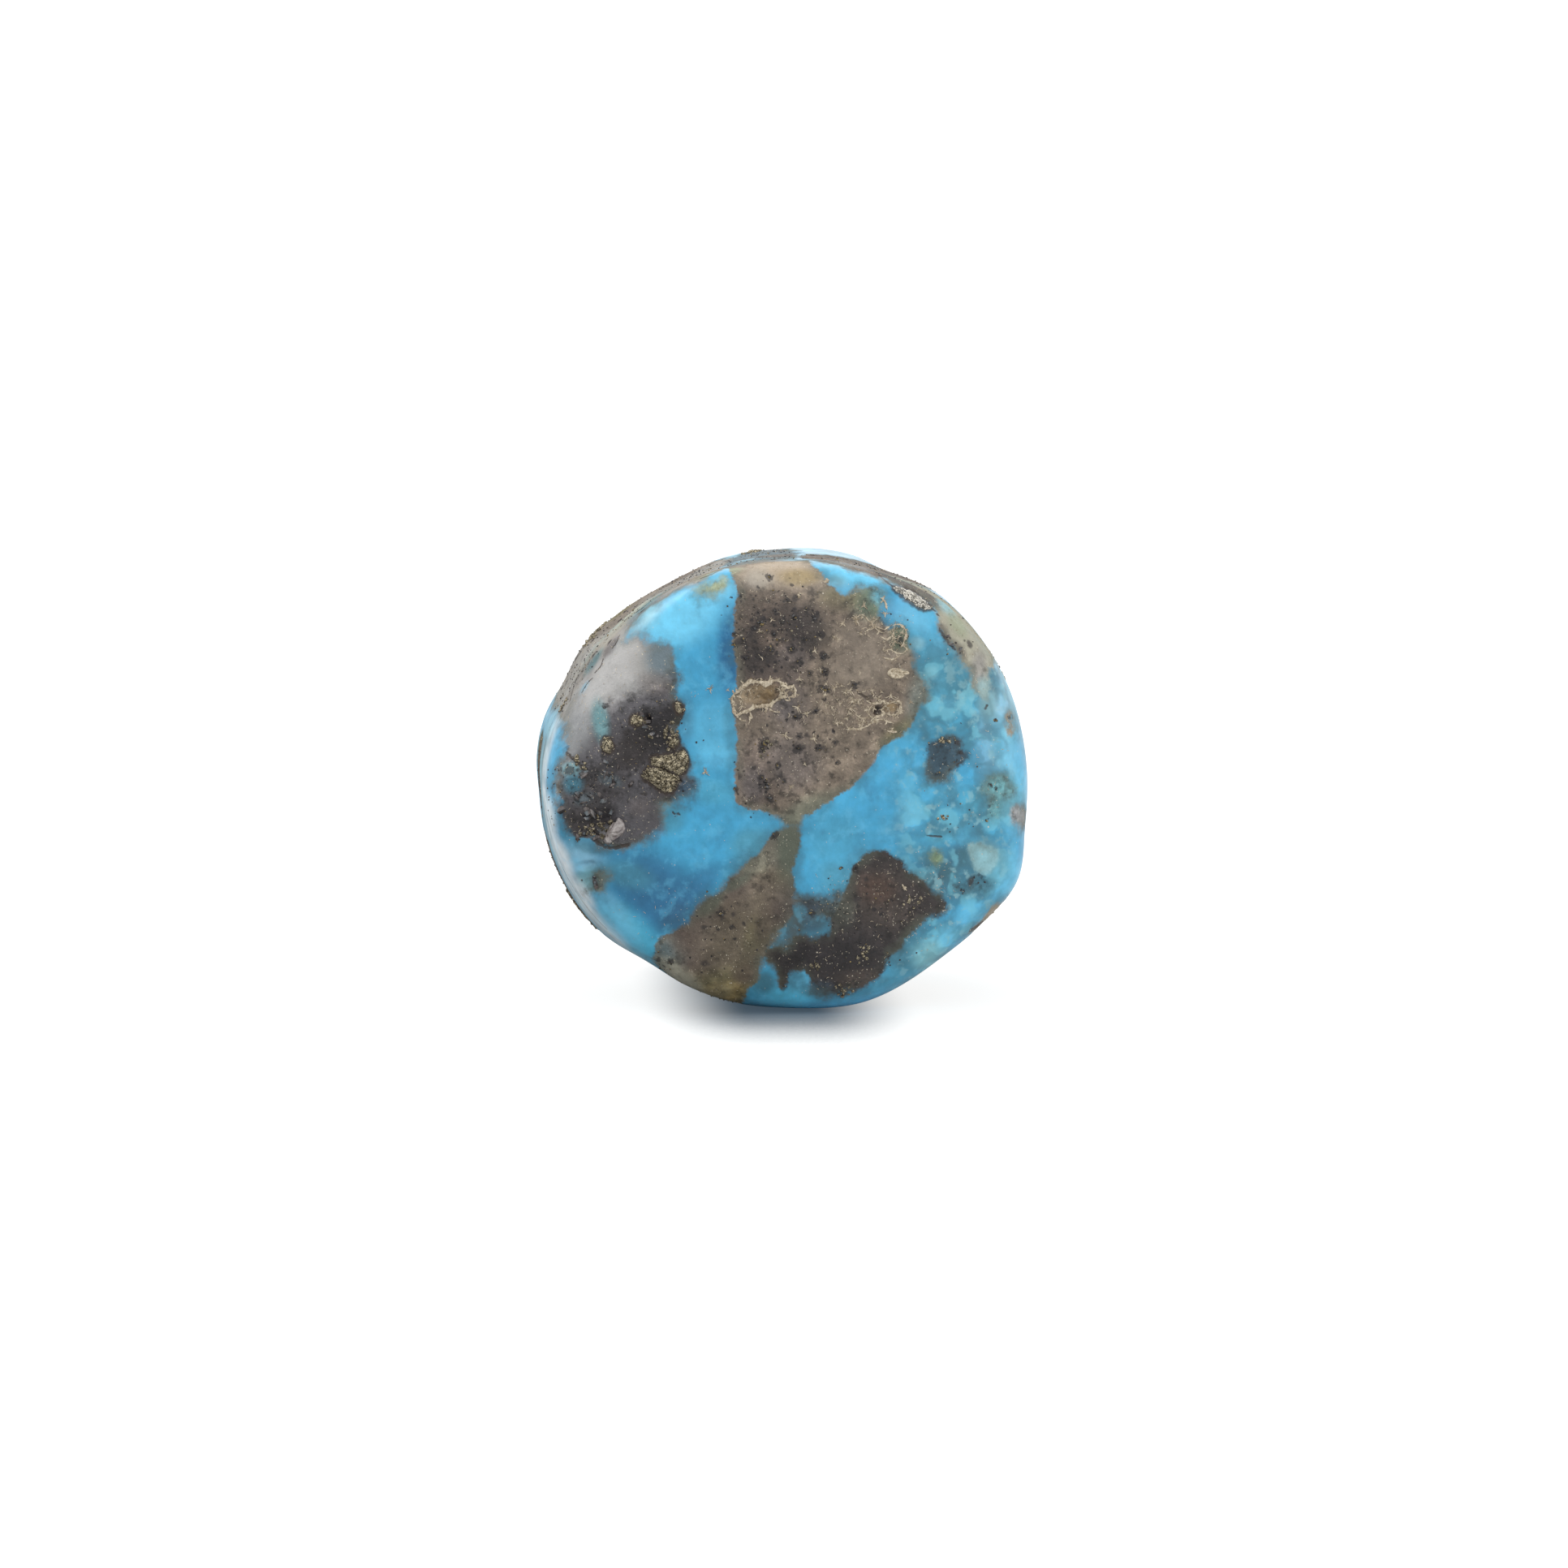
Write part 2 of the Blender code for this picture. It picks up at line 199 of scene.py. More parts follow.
# --- The chart: what shows where on the face, in mm across and above the axis ---------------------
# Patches of matrix: closed outlines, the swatch they start from, and how soft their edge is.
Patch = namedtuple("Patch", "swatch edge outline")
FACE_PATCHES = (
    Patch("greige", 0.07, (  # central wedge
        (-2.1, 8.3), (-2.3, 8.9), (-1.8, 9.5), (-0.6, 9.8), (0.4, 9.7), (1.0, 9.1), (1.3, 8.75),
        (1.6, 8.5), (1.75, 8.2), (1.85, 7.95), (2.2, 7.75), (2.6, 7.5), (2.9, 7.75), (3.3, 7.9),
        (3.8, 7.88), (4.2, 7.65), (4.15, 7.3), (3.98, 6.95), (4.1, 6.55), (4.45, 6.25), (4.8, 6.25),
        (5.12, 6.1), (5.22, 5.7), (5.25, 5.35), (5.42, 5.0), (5.45, 4.6), (5.6, 4.2), (5.8, 3.9),
        (5.98, 3.6), (5.95, 3.25), (5.75, 3.0), (5.5, 2.75), (5.3, 2.3), (5.05, 1.9), (4.8, 1.65),
        (4.4, 1.45), (4.05, 1.15), (3.75, 0.7), (3.45, 0.25), (3.15, -0.1), (2.7, -0.45),
        (2.25, -0.75), (1.8, -1.1), (1.3, -1.4), (0.85, -1.65), (0.72, -2.0), (0.3, -2.1),
        (0.0, -1.9), (-0.3, -1.6), (-0.8, -1.4), (-1.3, -1.3), (-1.75, -1.15), (-2.0, -0.85),
        (-1.95, -0.2), (-1.9, 0.6), (-1.9, 1.4), (-1.92, 2.2), (-2.05, 2.8), (-2.1, 3.15),
        (-1.9, 3.6), (-1.87, 4.3), (-1.9, 5.0), (-2.02, 5.5), (-1.97, 6.3), (-1.95, 7.0),
        (-1.85, 7.6),
    )),
    Patch("smoky_grey", 0.26, (  # left patch
        (-6.75, 5.6), (-6.35, 5.8), (-6.0, 5.95), (-5.7, 5.85), (-5.4, 5.6), (-5.1, 5.55),
        (-4.75, 5.5), (-4.47, 5.35), (-4.55, 5.05), (-4.4, 4.6), (-4.2, 4.3), (-4.2, 3.9),
        (-4.35, 3.6), (-4.15, 3.2), (-3.95, 3.0), (-4.05, 2.5), (-4.2, 2.0), (-4.15, 1.5),
        (-3.95, 1.1), (-3.8, 0.6), (-3.95, 0.1), (-3.65, -0.05), (-3.5, -0.35), (-3.7, -0.8),
        (-4.2, -1.0), (-4.75, -1.15), (-4.9, -1.6), (-5.0, -2.1), (-5.35, -2.55), (-5.9, -2.8),
        (-6.4, -2.9), (-7.0, -2.95), (-7.5, -2.75), (-7.85, -2.4), (-8.3, -2.5), (-8.8, -2.3),
        (-9.1, -1.8), (-9.3, -1.0), (-9.42, -0.2), (-9.3, 0.5), (-9.1, 1.0), (-9.0, 1.7),
        (-8.95, 2.5), (-8.8, 3.2), (-8.5, 3.9), (-8.1, 4.5), (-7.6, 5.1), (-7.2, 5.5),
    )),
    Patch("grey_brown", 0.09, (  # neck and lower left wedge
        (0.15, -1.9), (0.6, -1.95), (0.78, -2.3), (0.72, -2.8), (0.62, -3.3), (0.5, -3.8),
        (0.5, -4.3), (0.55, -4.8), (0.5, -5.2), (0.38, -5.7), (0.1, -6.15), (-0.25, -6.5),
        (-0.4, -6.9), (-0.7, -7.3), (-0.95, -7.9), (-1.1, -8.4), (-1.4, -8.7), (-1.7, -9.4),
        (-1.9, -10.6), (-3.0, -10.9), (-4.0, -9.9), (-4.6, -8.7), (-5.1, -7.9), (-5.35, -7.4),
        (-5.2, -6.95), (-4.95, -6.55), (-4.55, -6.25), (-4.0, -5.95), (-3.6, -5.5), (-3.1, -4.95),
        (-2.6, -4.45), (-2.0, -3.95), (-1.4, -3.45), (-0.95, -3.1), (-0.7, -2.7), (-0.5, -2.3),
        (-0.2, -2.05),
    )),
    Patch("dark", 0.10, (  # lower right lobe
        (2.45, -4.8), (2.7, -4.4), (2.85, -3.95), (3.05, -3.5), (3.4, -3.15), (3.8, -2.95),
        (4.25, -2.95), (4.65, -3.2), (5.0, -3.5), (5.2, -3.8), (5.6, -4.1), (6.0, -4.3),
        (6.3, -4.65), (6.65, -4.95), (6.9, -5.2), (6.75, -5.6), (6.2, -5.8), (5.75, -5.95),
        (5.45, -6.3), (5.1, -6.7), (4.8, -7.1), (4.45, -7.4), (4.2, -7.9), (3.85, -8.3),
        (3.4, -8.6), (2.9, -8.75), (2.4, -8.9), (1.9, -8.95), (1.4, -8.85), (1.15, -8.45),
        (0.95, -8.05), (0.7, -7.95), (0.4, -8.05), (0.25, -8.3), (0.08, -8.68), (-0.12, -8.55),
        (-0.32, -8.1), (-0.4, -7.7), (-0.7, -7.4), (-0.8, -7.1), (-0.5, -6.88), (-0.2, -6.85),
        (0.15, -6.8), (0.4, -6.55), (0.6, -6.38), (1.0, -6.42), (1.35, -6.5), (1.7, -6.45),
        (1.97, -6.25), (1.95, -5.9), (1.8, -5.55), (2.0, -5.2),
    )),
    Patch("smoke", 0.16, (  # smoky bridge between the two lower patches
        (0.35, -4.85), (0.9, -4.8), (1.4, -4.95), (1.9, -4.9), (2.4, -4.7), (2.5, -5.5),
        (2.1, -5.9), (1.7, -5.7), (1.5, -5.75), (1.25, -5.95), (1.05, -5.8), (0.9, -5.4),
        (0.55, -5.3), (0.3, -5.4),
    )),
    Patch("slate", 0.14, (  # blue-black shadow at the right
        (5.95, 1.2), (6.15, 1.5), (6.5, 1.55), (6.9, 1.7), (7.3, 1.75), (7.5, 1.55), (7.3, 1.2),
        (7.6, 1.05), (7.75, 0.85), (7.5, 0.6), (7.2, 0.4), (6.95, 0.15), (6.8, -0.15), (6.4, -0.3),
        (6.1, -0.2), (5.92, 0.1), (5.9, 0.6),
    )),
    Patch("tan_grey", 0.16, (  # translucent tan over the upper right shoulder
        (3.75, 8.5), (4.3, 8.05), (4.8, 7.8), (5.3, 7.6), (5.8, 7.25), (6.15, 6.95), (6.34, 6.7),
        (6.43, 6.02), (6.7, 5.7), (7.04, 5.32), (7.39, 4.71), (7.66, 4.35), (7.74, 3.83),
        (8.1, 3.4), (8.4, 3.15), (8.5, 3.6), (8.55, 4.3), (8.9, 4.8), (9.7, 5.8), (9.2, 7.2),
        (8.0, 8.4), (6.7, 9.4), (5.2, 9.8), (4.3, 9.4), (3.9, 8.9),
    )),
    Patch("tan", 0.16, ((9.15, 2.6), (9.4, 2.6), (9.55, 2.1), (9.4, 1.75), (9.25, 2.1))),
    Patch("algae", 0.2, (  # small bits in the mottled right zone
        (6.15, -2.95), (6.4, -2.9), (6.55, -3.1), (6.6, -3.4), (6.4, -3.6), (6.2, -3.55),
        (6.1, -3.3),
    )),
    Patch("steel", 0.22, (
        (7.0, -4.4), (7.5, -4.35), (7.8, -4.1), (8.2, -4.05), (8.5, -4.3), (8.3, -4.6),
        (7.9, -4.75), (7.4, -4.7),
    )),
    Patch("green_blue", 0.22, (
        (8.35, -0.1), (8.8, 0.15), (9.3, 0.0), (9.6, -0.4), (9.35, -0.8), (9.0, -1.1), (8.9, -1.5),
        (8.6, -1.6), (8.45, -1.2), (8.5, -0.8), (8.25, -0.5),
    )),
    Patch("pale", 0.10, (  # pale clear bit
        (7.72, -2.78), (8.3, -2.69), (8.87, -3.07), (8.72, -3.73), (8.3, -3.92), (7.82, -3.64),
    )),
    Patch("mist", 0.24, ((9.4, -1.3), (9.8, -1.2), (10.3, -1.3), (10.2, -2.1), (9.5, -1.9))),
    Patch("tan", 0.12, (  # chip on the flat at the lower right
        (7.8, -6.5), (8.3, -5.7), (8.6, -5.35), (9.1, -5.1), (9.9, -5.4), (9.6, -6.6), (8.6, -7.3),
    )),
    Patch("sage", 0.26, (  # in and above the lower pit
        (-8.1, -4.75), (-7.8, -4.65), (-7.45, -4.7), (-7.3, -4.4), (-7.0, -4.1), (-7.2, -3.9),
        (-7.7, -3.85), (-7.8, -4.1), (-7.65, -4.4), (-8.0, -4.5),
    )),
    Patch("veil", 0.34, (  # thin veil on the shoulder above the blue
        (-3.5, 7.7), (-3.0, 8.0), (-2.6, 8.15), (-2.35, 8.1), (-2.35, 7.8), (-2.8, 7.6),
        (-3.2, 7.55),
    )),
)

# Patches on the side, as clock angle in degrees and depth in mm.
SIDE_PATCHES = (
    Patch("grey_brown", 0.26, (  # vein over the top right
        (43, -0.8), (48, -2.6), (54, -4.4), (61, -5.6), (68, -6.0), (74, -5.8), (80, -5.5),
        (84, -4.4), (82, -3.0), (76, -2.4), (68, -1.6), (60, -0.2), (52, 1.2), (45, 1.6),
    )),
    Patch("slate_grey", 0.3, (  # grey over the top
        (86, -5.6), (92, -6.4), (98, -6.3), (104, -5.8), (108, -4.6), (104, -2.2), (97, 0.3),
        (90, 2.2), (85, 0.6), (83, -2.2),
    )),
    Patch("stone_grey", 0.28, (  # broad grey band along the upper left
        (102, -3.0), (103, -5.2), (107, -6.0), (112, -6.3), (118, -6.15), (124, -6.0), (129, -5.7),
        (134, -5.8), (139, -6.0), (143, -6.4), (148, -6.7), (154, -6.8), (160, -6.6), (165, -6.2),
        (167, -5.4), (166, -4.2), (166, -2.5), (166, -0.5), (162, 2.0), (150, 3.4), (138, 2.6),
        (126, 3.0), (114, 2.2), (105, 1.0), (100, -1.0),
    )),
    Patch("brown", 0.18, (
        (174, -1.3), (182, -1.7), (190, -1.2), (195, -0.4), (189, 0.4), (180, 0.2), (173, 0.0),
    )),
    Patch("brown", 0.22, (
        (199, -1.8), (206, -2.6), (216, -2.4), (227, -1.6), (233, -0.3), (230, 1.7), (220, 3.2),
        (206, 2.8), (198, 1.0),
    )),
    Patch("grey_brown", 0.22, (
        (292, -3.8), (300, -4.6), (309, -4.2), (318, -3.4), (322, -1.4), (316, 1.2), (306, 2.4),
        (297, 1.0), (290, -1.2),
    )),
    Patch("greige", 0.22, (
        (4, -1.6), (9, -3.2), (16, -2.4), (21, -3.4), (27, -1.8), (25, 0.4), (31, 1.8), (22, 3.2),
        (14, 1.8), (7, 2.8), (1, 1.0),
    )),
)
SIDE_RADIUS = 9.5  # mm, to compare clock angles with depths
PLAIN_EDGE, REAR_EDGE = 0.2, 0.16  # how soft the edges are between patches, and at the rear

# The pattern in space that lays out the matrix at the rear: spans and reaches in mm.
REAR_BEND, REAR_BEND_SPAN = 0.9, 2.6
REAR_PATCH_SPAN, REAR_PATCH_STEEPNESS = 7.0, 2.4
REAR_RAGGED, REAR_RAGGED_SPAN = 0.35, 2.7
REAR_VEIN_SPAN, REAR_VEIN_STEEPNESS = 6.0, 2.0
CLUSTER_SPAN = 2.2  # from one cluster of grains to the next

# Cracks and dark seams, as routes with a half width: on the face in mm across and above, and on
# the side as clock angle and depth.
FACE_CRACKS = (
    (0.04, ((-8.25, 3.5), (-8.0, 3.9), (-7.8, 4.1))),
    (0.04, ((-7.7, 4.3), (-7.45, 4.6), (-7.35, 4.9))),
    (0.04, ((-7.0, 5.3), (-6.8, 5.6), (-6.7, 5.95))), (0.16, ((-5.95, 6.85), (-5.75, 7.0))),
    (0.07, ((3.95, 8.35), (4.25, 8.05), (4.5, 7.85))),
    (0.07, ((6.1, 6.95), (6.3, 6.8), (6.45, 6.6))),
    (0.12, ((6.45, 6.1), (6.75, 5.65), (7.1, 5.25))),
    (0.10, ((3.1, 3.52), (3.35, 3.35), (3.65, 3.1))),
    (0.09, ((5.95, -2.36), (6.2, -2.4), (6.5, -2.42))), (0.08, ((8.3, 2.8), (8.45, 2.98))),
    (0.12, ((7.75, -6.3), (8.0, -6.15), (8.25, -5.95))),
    (0.07, ((-4.5, -1.4), (-4.4, -1.6), (-4.3, -1.45), (-4.2, -1.6))),
    (0.14, ((-8.9, 1.0), (-8.5, 0.65), (-8.1, 0.3))),
    (0.14, ((-8.3, -2.4), (-7.9, -2.45), (-7.5, -2.75), (-7.0, -2.9), (-6.3, -2.75))),
)
SIDE_CRACKS = (
    (0.10, ((155, -3.2), (158, -3.9), (161, -4.8))), (0.10, ((157, -2.2), (160, -3.0))),
    (0.14, ((127, -4.4), (130, -4.9))), (0.12, ((106, -5.8), (109, -6.0), (112, -6.0))),
    (0.12, ((168, -3.2), (172, -2.9), (177, -3.3))), (0.12, ((84, -4.0), (90, -3.4), (96, -3.6))),
    (0.10, ((52, -4.4), (58, -4.9), (66, -5.1))), (0.10, ((202, -5.0), (212, -5.2), (222, -5.6))),
)

# Tints inside the blue and inside the matrix: soft ellipses, half length and half width, turn in
# degrees, swatch and strength.
Tint = namedtuple("Tint", "across above length width turn swatch strength")
Spread = namedtuple("Spread", "across above length width turn amount")
BLUE_TINTS = rows_of(Tint, (
    (-3.0, 4.6, 1.5, 3.2, 0, "deep", 0.12), (-2.15, 5.2, 0.75, 2.6, 0, "deep", 1.0),
    # The sky tints on the upper left shoulder are partly the blue's own lighter colour and partly
    # painted highlight.
    (-4.2, 6.6, 2.7, 1.6, 25, "sky", 1.0), (-3.0, 7.7, 1.9, 0.9, 20, "sky", 0.8),
    (-2.9, 2.0, 1.3, 1.6, 0, "sky", 0.35), (-2.7, 0.9, 1.3, 0.9, 0, "sky", 0.35),
    (-2.8, -0.6, 1.3, 0.8, 0, "teal", 0.55), (-3.0, -2.4, 3.2, 1.5, 15, "bright", 0.5),
    (-1.3, -2.7, 1.3, 1.0, 20, "dull_teal", 0.75), (-5.1, -4.8, 3.8, 2.2, -36, "dull_deep", 0.9),
    (-4.3, -5.8, 1.8, 0.9, -45, "dull_deep", 0.4), (-6.4, -6.5, 2.6, 1.3, -44, "cyan", 0.9),
    (-8.5, -3.5, 1.7, 1.4, 0, "pale_blue", 0.65), (-4.6, -1.7, 0.8, 0.9, 0, "dull_teal", 0.6),
    (2.8, 8.5, 2.2, 1.1, -12, "sky", 0.9), (5.6, 6.7, 1.3, 1.1, 30, "sky", 0.45),
    (6.9, 3.6, 3.2, 2.8, 0, "teal", 0.8), (5.7, 5.2, 1.4, 1.6, 0, "teal", 0.5),
    # Painted highlight near the right rim, about 2 to 4 mm above the axis: the pale and pale blue
    # at (9.0, 2.2) and (8.7, 3.0), and the sky at (9.5, 3.6).
    (9.0, 2.2, 1.4, 3.4, -8, "pale_blue", 0.6), (8.7, 3.0, 0.9, 1.0, 0, "pale", 0.9),
    (9.5, 3.6, 0.7, 2.2, -8, "sky", 0.7), (9.6, -0.6, 0.9, 2.4, 0, "sky", 0.7),
    (4.2, -0.3, 2.6, 1.6, 35, "bright", 0.7), (2.0, -3.3, 1.6, 2.0, 20, "bright", 0.15),
    (7.4, -1.6, 2.6, 1.9, 0, "teal", 0.6), (7.3, -4.0, 2.2, 1.5, 0, "dark_teal", 0.8),
    (3.6, -1.2, 3.4, 2.2, 0, "mid", 0.5), (5.2, -8.0, 2.4, 0.9, 32, "teal", 0.5),
    # More painted highlight at the right rim: the pale blue at (9.2, 2.9).
    (9.2, 2.9, 0.6, 1.6, 0, "pale_blue", 0.9), (5.6, -7.4, 2.9, 1.5, 32, "pale_cyan", 0.12),
    # Painted light: the sky tints at (9.3, -4.2) and (7.9, -5.7) stand for light thrown up from the
    # floor onto the lower right edge.
    (9.3, -4.2, 1.2, 1.8, 10, "sky", 0.8), (7.9, -5.7, 1.6, 0.9, 35, "sky", 0.6),
    (-7.2, -5.2, 2.2, 0.7, -48, "pale_blue", 0.25), (-6.3, -4.0, 1.6, 0.8, -20, "dull_teal", 0.6),
    (-7.9, -2.9, 0.9, 0.35, -10, "dark_teal", 0.6), (-7.9, -4.2, 1.1, 0.75, 20, "green_blue", 0.8),
    # The near-white tints along the left and lower left rim, from (-9.7, -1.6) to (-7.2, -6.4),
    # paint the reflection of the bright surroundings on the polished edge.
    (-8.05, -4.3, 0.6, 0.5, 0, "pale", 0.8), (-9.7, -1.6, 1.6, 0.55, -78, "pale_lilac", 1.0),
    (-9.15, -3.3, 1.5, 0.55, -68, "pale_lilac", 1.0),
    (-8.3, -4.95, 1.5, 0.6, -58, "pale_lilac", 1.0), (-7.2, -6.4, 1.5, 0.6, -47, "pale_lilac", 1.0),
    # Painted shade: the darker blue at (1.5, -8.75) along the bottom edge, next to the floor.
    (0.2, -9.0, 1.6, 0.6, 0, "cyan", 0.7), (1.5, -8.75, 1.0, 0.4, 0, "bottom", 0.95),
    (3.4, -8.6, 1.6, 0.6, 15, "dark_teal", 0.3), (1.1, -5.8, 1.5, 1.1, 0, "steel", 0.95),
    (1.1, -5.9, 0.8, 0.6, 0, "smoke", 0.8), (-0.75, -8.4, 0.8, 0.7, 0, "dark_teal", 0.85),
    (0.65, -8.4, 0.7, 0.6, 0, "dark_teal", 0.7), (2.2, -2.7, 1.7, 1.8, 0, "teal", 0.45),
    # Painted light from the floor on the lower right edge: the sky at (6.6, -6.65) and the
    # near-white at (5.95, -7.3).
    (6.6, -6.65, 1.1, 0.6, 38, "sky", 0.7), (5.95, -7.3, 1.0, 0.9, 35, "light_sky", 1.0),
    (4.85, -7.4, 0.7, 0.8, 40, "dark_teal", 0.75), (6.5, 4.7, 1.2, 1.3, 0, "steel", 0.5),
    (7.3, 3.8, 1.0, 0.9, 0, "steel", 0.35), (0.0, -6.5, 0.8, 0.6, 0, "steel", 0.8),
    (8.4, -3.2, 1.0, 0.8, -20, "pale", 1.0), (8.0, -2.2, 0.6, 0.4, 0, "dark_teal", 0.6),
    (7.3, -3.2, 0.6, 0.5, 0, "dark_teal", 0.8), (6.7, -3.8, 0.6, 0.5, 0, "dark_teal", 0.8),
    (9.0, -0.9, 1.3, 1.5, 0, "green_blue", 0.7), (6.5, -3.9, 0.8, 0.6, -30, "dark_teal", 0.8),
    (6.4, -2.4, 0.9, 0.5, 0, "teal", 0.9), (6.1, 4.3, 0.4, 0.4, 0, "pale", 0.9),
    (5.2, -1.6, 0.8, 0.8, 0, "sky", 0.6), (5.5, 5.5, 0.5, 0.4, 0, "pale", 0.7),
    (6.8, 3.0, 0.7, 0.6, 0, "sky", 0.6), (0.45, -5.95, 0.6, 0.9, 0, "moss", 0.75),
    (0.1, -6.95, 0.8, 0.6, 0, "moss", 0.5), (1.1, -5.0, 0.8, 0.5, 0, "smoke", 0.4),
    (5.9, -4.2, 0.8, 0.5, -20, "dark_teal", 0.8), (5.6, -3.1, 1.1, 0.7, -30, "dull_teal", 0.6),
    (2.2, -4.1, 1.1, 0.9, 0, "dull_teal", 0.6), (-3.95, 2.4, 0.5, 1.6, 0, "steel_dark", 0.4),
    (-2.1, 2.3, 0.5, 1.4, 0, "steel", 0.45), (-1.9, -3.6, 0.9, 0.5, 35, "steel", 0.4),
    (7.1, -2.0, 0.9, 0.8, 0, "dull_teal", 0.45), (7.0, 4.2, 1.3, 1.3, 0, "teal", 0.5),
    (9.3, 1.5, 0.7, 1.2, 0, "sky", 0.6), (-6.6, -6.3, 1.5, 0.6, -45, "sky", 0.5),
    (2.2, 8.1, 0.7, 0.4, 0, "teal_grey", 0.6), (-3.3, -4.3, 1.6, 0.8, 40, "dull_deep", 0.6),
    (-4.4, -5.7, 1.2, 0.6, 45, "steel_dark", 0.4), (8.0, -1.0, 0.8, 0.8, 0, "cyan", 0.6),
    (9.1, 1.8, 0.8, 1.1, 0, "sky", 0.7), (0.35, -6.2, 0.9, 1.1, 0, "smoke", 0.5),
    (1.4, -5.9, 0.8, 0.6, 0, "smoke", 0.35), (5.2, -6.9, 0.8, 0.7, 30, "dark_teal", 0.55),
    (6.1, -4.0, 0.9, 0.6, -20, "slate", 0.5), (-7.0, -5.9, 1.3, 0.5, -50, "sky", 0.6),
))
SIDE_BLUE_TINTS = rows_of(Tint, (  # clock angle, depth, then mm along the clock and mm of depth
    # From clock 180 to 215 the pale, mauve and near-white tints paint the reflection along the
    # lower left side.
    (183, -3.2, 3.4, 2.6, 0, "pale", 0.8), (188, -4.4, 4.0, 1.4, 0, "mauve", 0.35),
    (215, -4.2, 6.5, 1.9, 0, "pale", 0.4), (180, -4.4, 4.5, 1.3, 0, "pale_lilac", 0.7),
    (208, -4.4, 6.0, 1.3, 0, "pale_lilac", 0.8), (130, -5.9, 1.6, 0.9, 0, "pale", 0.7),
    (20, -4.0, 4.0, 2.4, 0, "pale_cyan", 0.5),
))
SIDE_MATRIX_TINTS = rows_of(Tint, (
    # The mauve tints at clock 144 to 154 carry the left shoulder's painted sheen onto the side.
    (153, -5.7, 2.6, 0.8, 0, "mauve", 0.8), (144, -6.1, 1.8, 0.5, 0, "mauve", 0.8),
    (140, -4.3, 2.4, 1.0, 0, "haze", 0.7), (149, -4.6, 1.0, 0.8, 0, "teal_grey", 1.0),
    (156, -5.5, 0.5, 0.3, 0, "pale_blue", 0.8), (143, -5.4, 0.9, 0.5, 0, "lilac", 0.8),
    (129, -5.4, 1.6, 0.9, 0, "slate_grey", 0.8), (127, -4.0, 1.6, 1.6, 0, "teal_grey", 0.9),
    (123, -4.6, 0.7, 0.9, 0, "greige", 0.8), (116, -4.9, 1.0, 0.8, 0, "greige", 0.7),
    (119, -6.0, 0.7, 0.4, 0, "mist", 0.7), (110, -5.7, 1.3, 0.7, 0, "olive", 0.6),
    (106, -6.1, 1.3, 0.6, 0, "veil", 0.9), (104, -4.3, 0.9, 0.6, 0, "pale_blue", 0.9),
    (98, -3.4, 1.0, 0.5, 0, "pale_blue", 0.8), (86, -5.0, 1.5, 0.55, 0, "pale_blue", 1.0),
    (92, -5.0, 1.2, 0.5, 0, "mist", 0.8), (89, -3.2, 1.3, 0.9, 0, "greige", 0.8),
    (100, -5.4, 1.6, 0.8, 0, "greige", 0.7), (137, -3.4, 2.4, 1.6, 0, "tan_grey", 0.8),
    (139, -3.0, 3.2, 1.9, 0, "pale_sage", 0.6), (135, -4.2, 1.2, 0.6, 0, "olive", 0.3),
    (144, -3.4, 1.1, 1.5, 0, "haze", 0.8), (151, -4.0, 1.3, 1.5, 0, "lilac", 0.35),
    # More of the left shoulder's painted sheen in the mauve at clock 154.
    (154, -2.2, 2.2, 2.0, 0, "mauve", 0.4), (161, -5.4, 1.2, 1.0, 0, "mist", 0.7),
    (162, -3.6, 0.9, 1.0, 0, "greige", 0.4), (71, -4.9, 1.6, 0.8, 0, "mauve", 0.5),
    (78, -5.3, 0.9, 0.5, 0, "dark", 0.25), (58, -2.4, 1.8, 1.4, 0, "brown", 0.6),
))
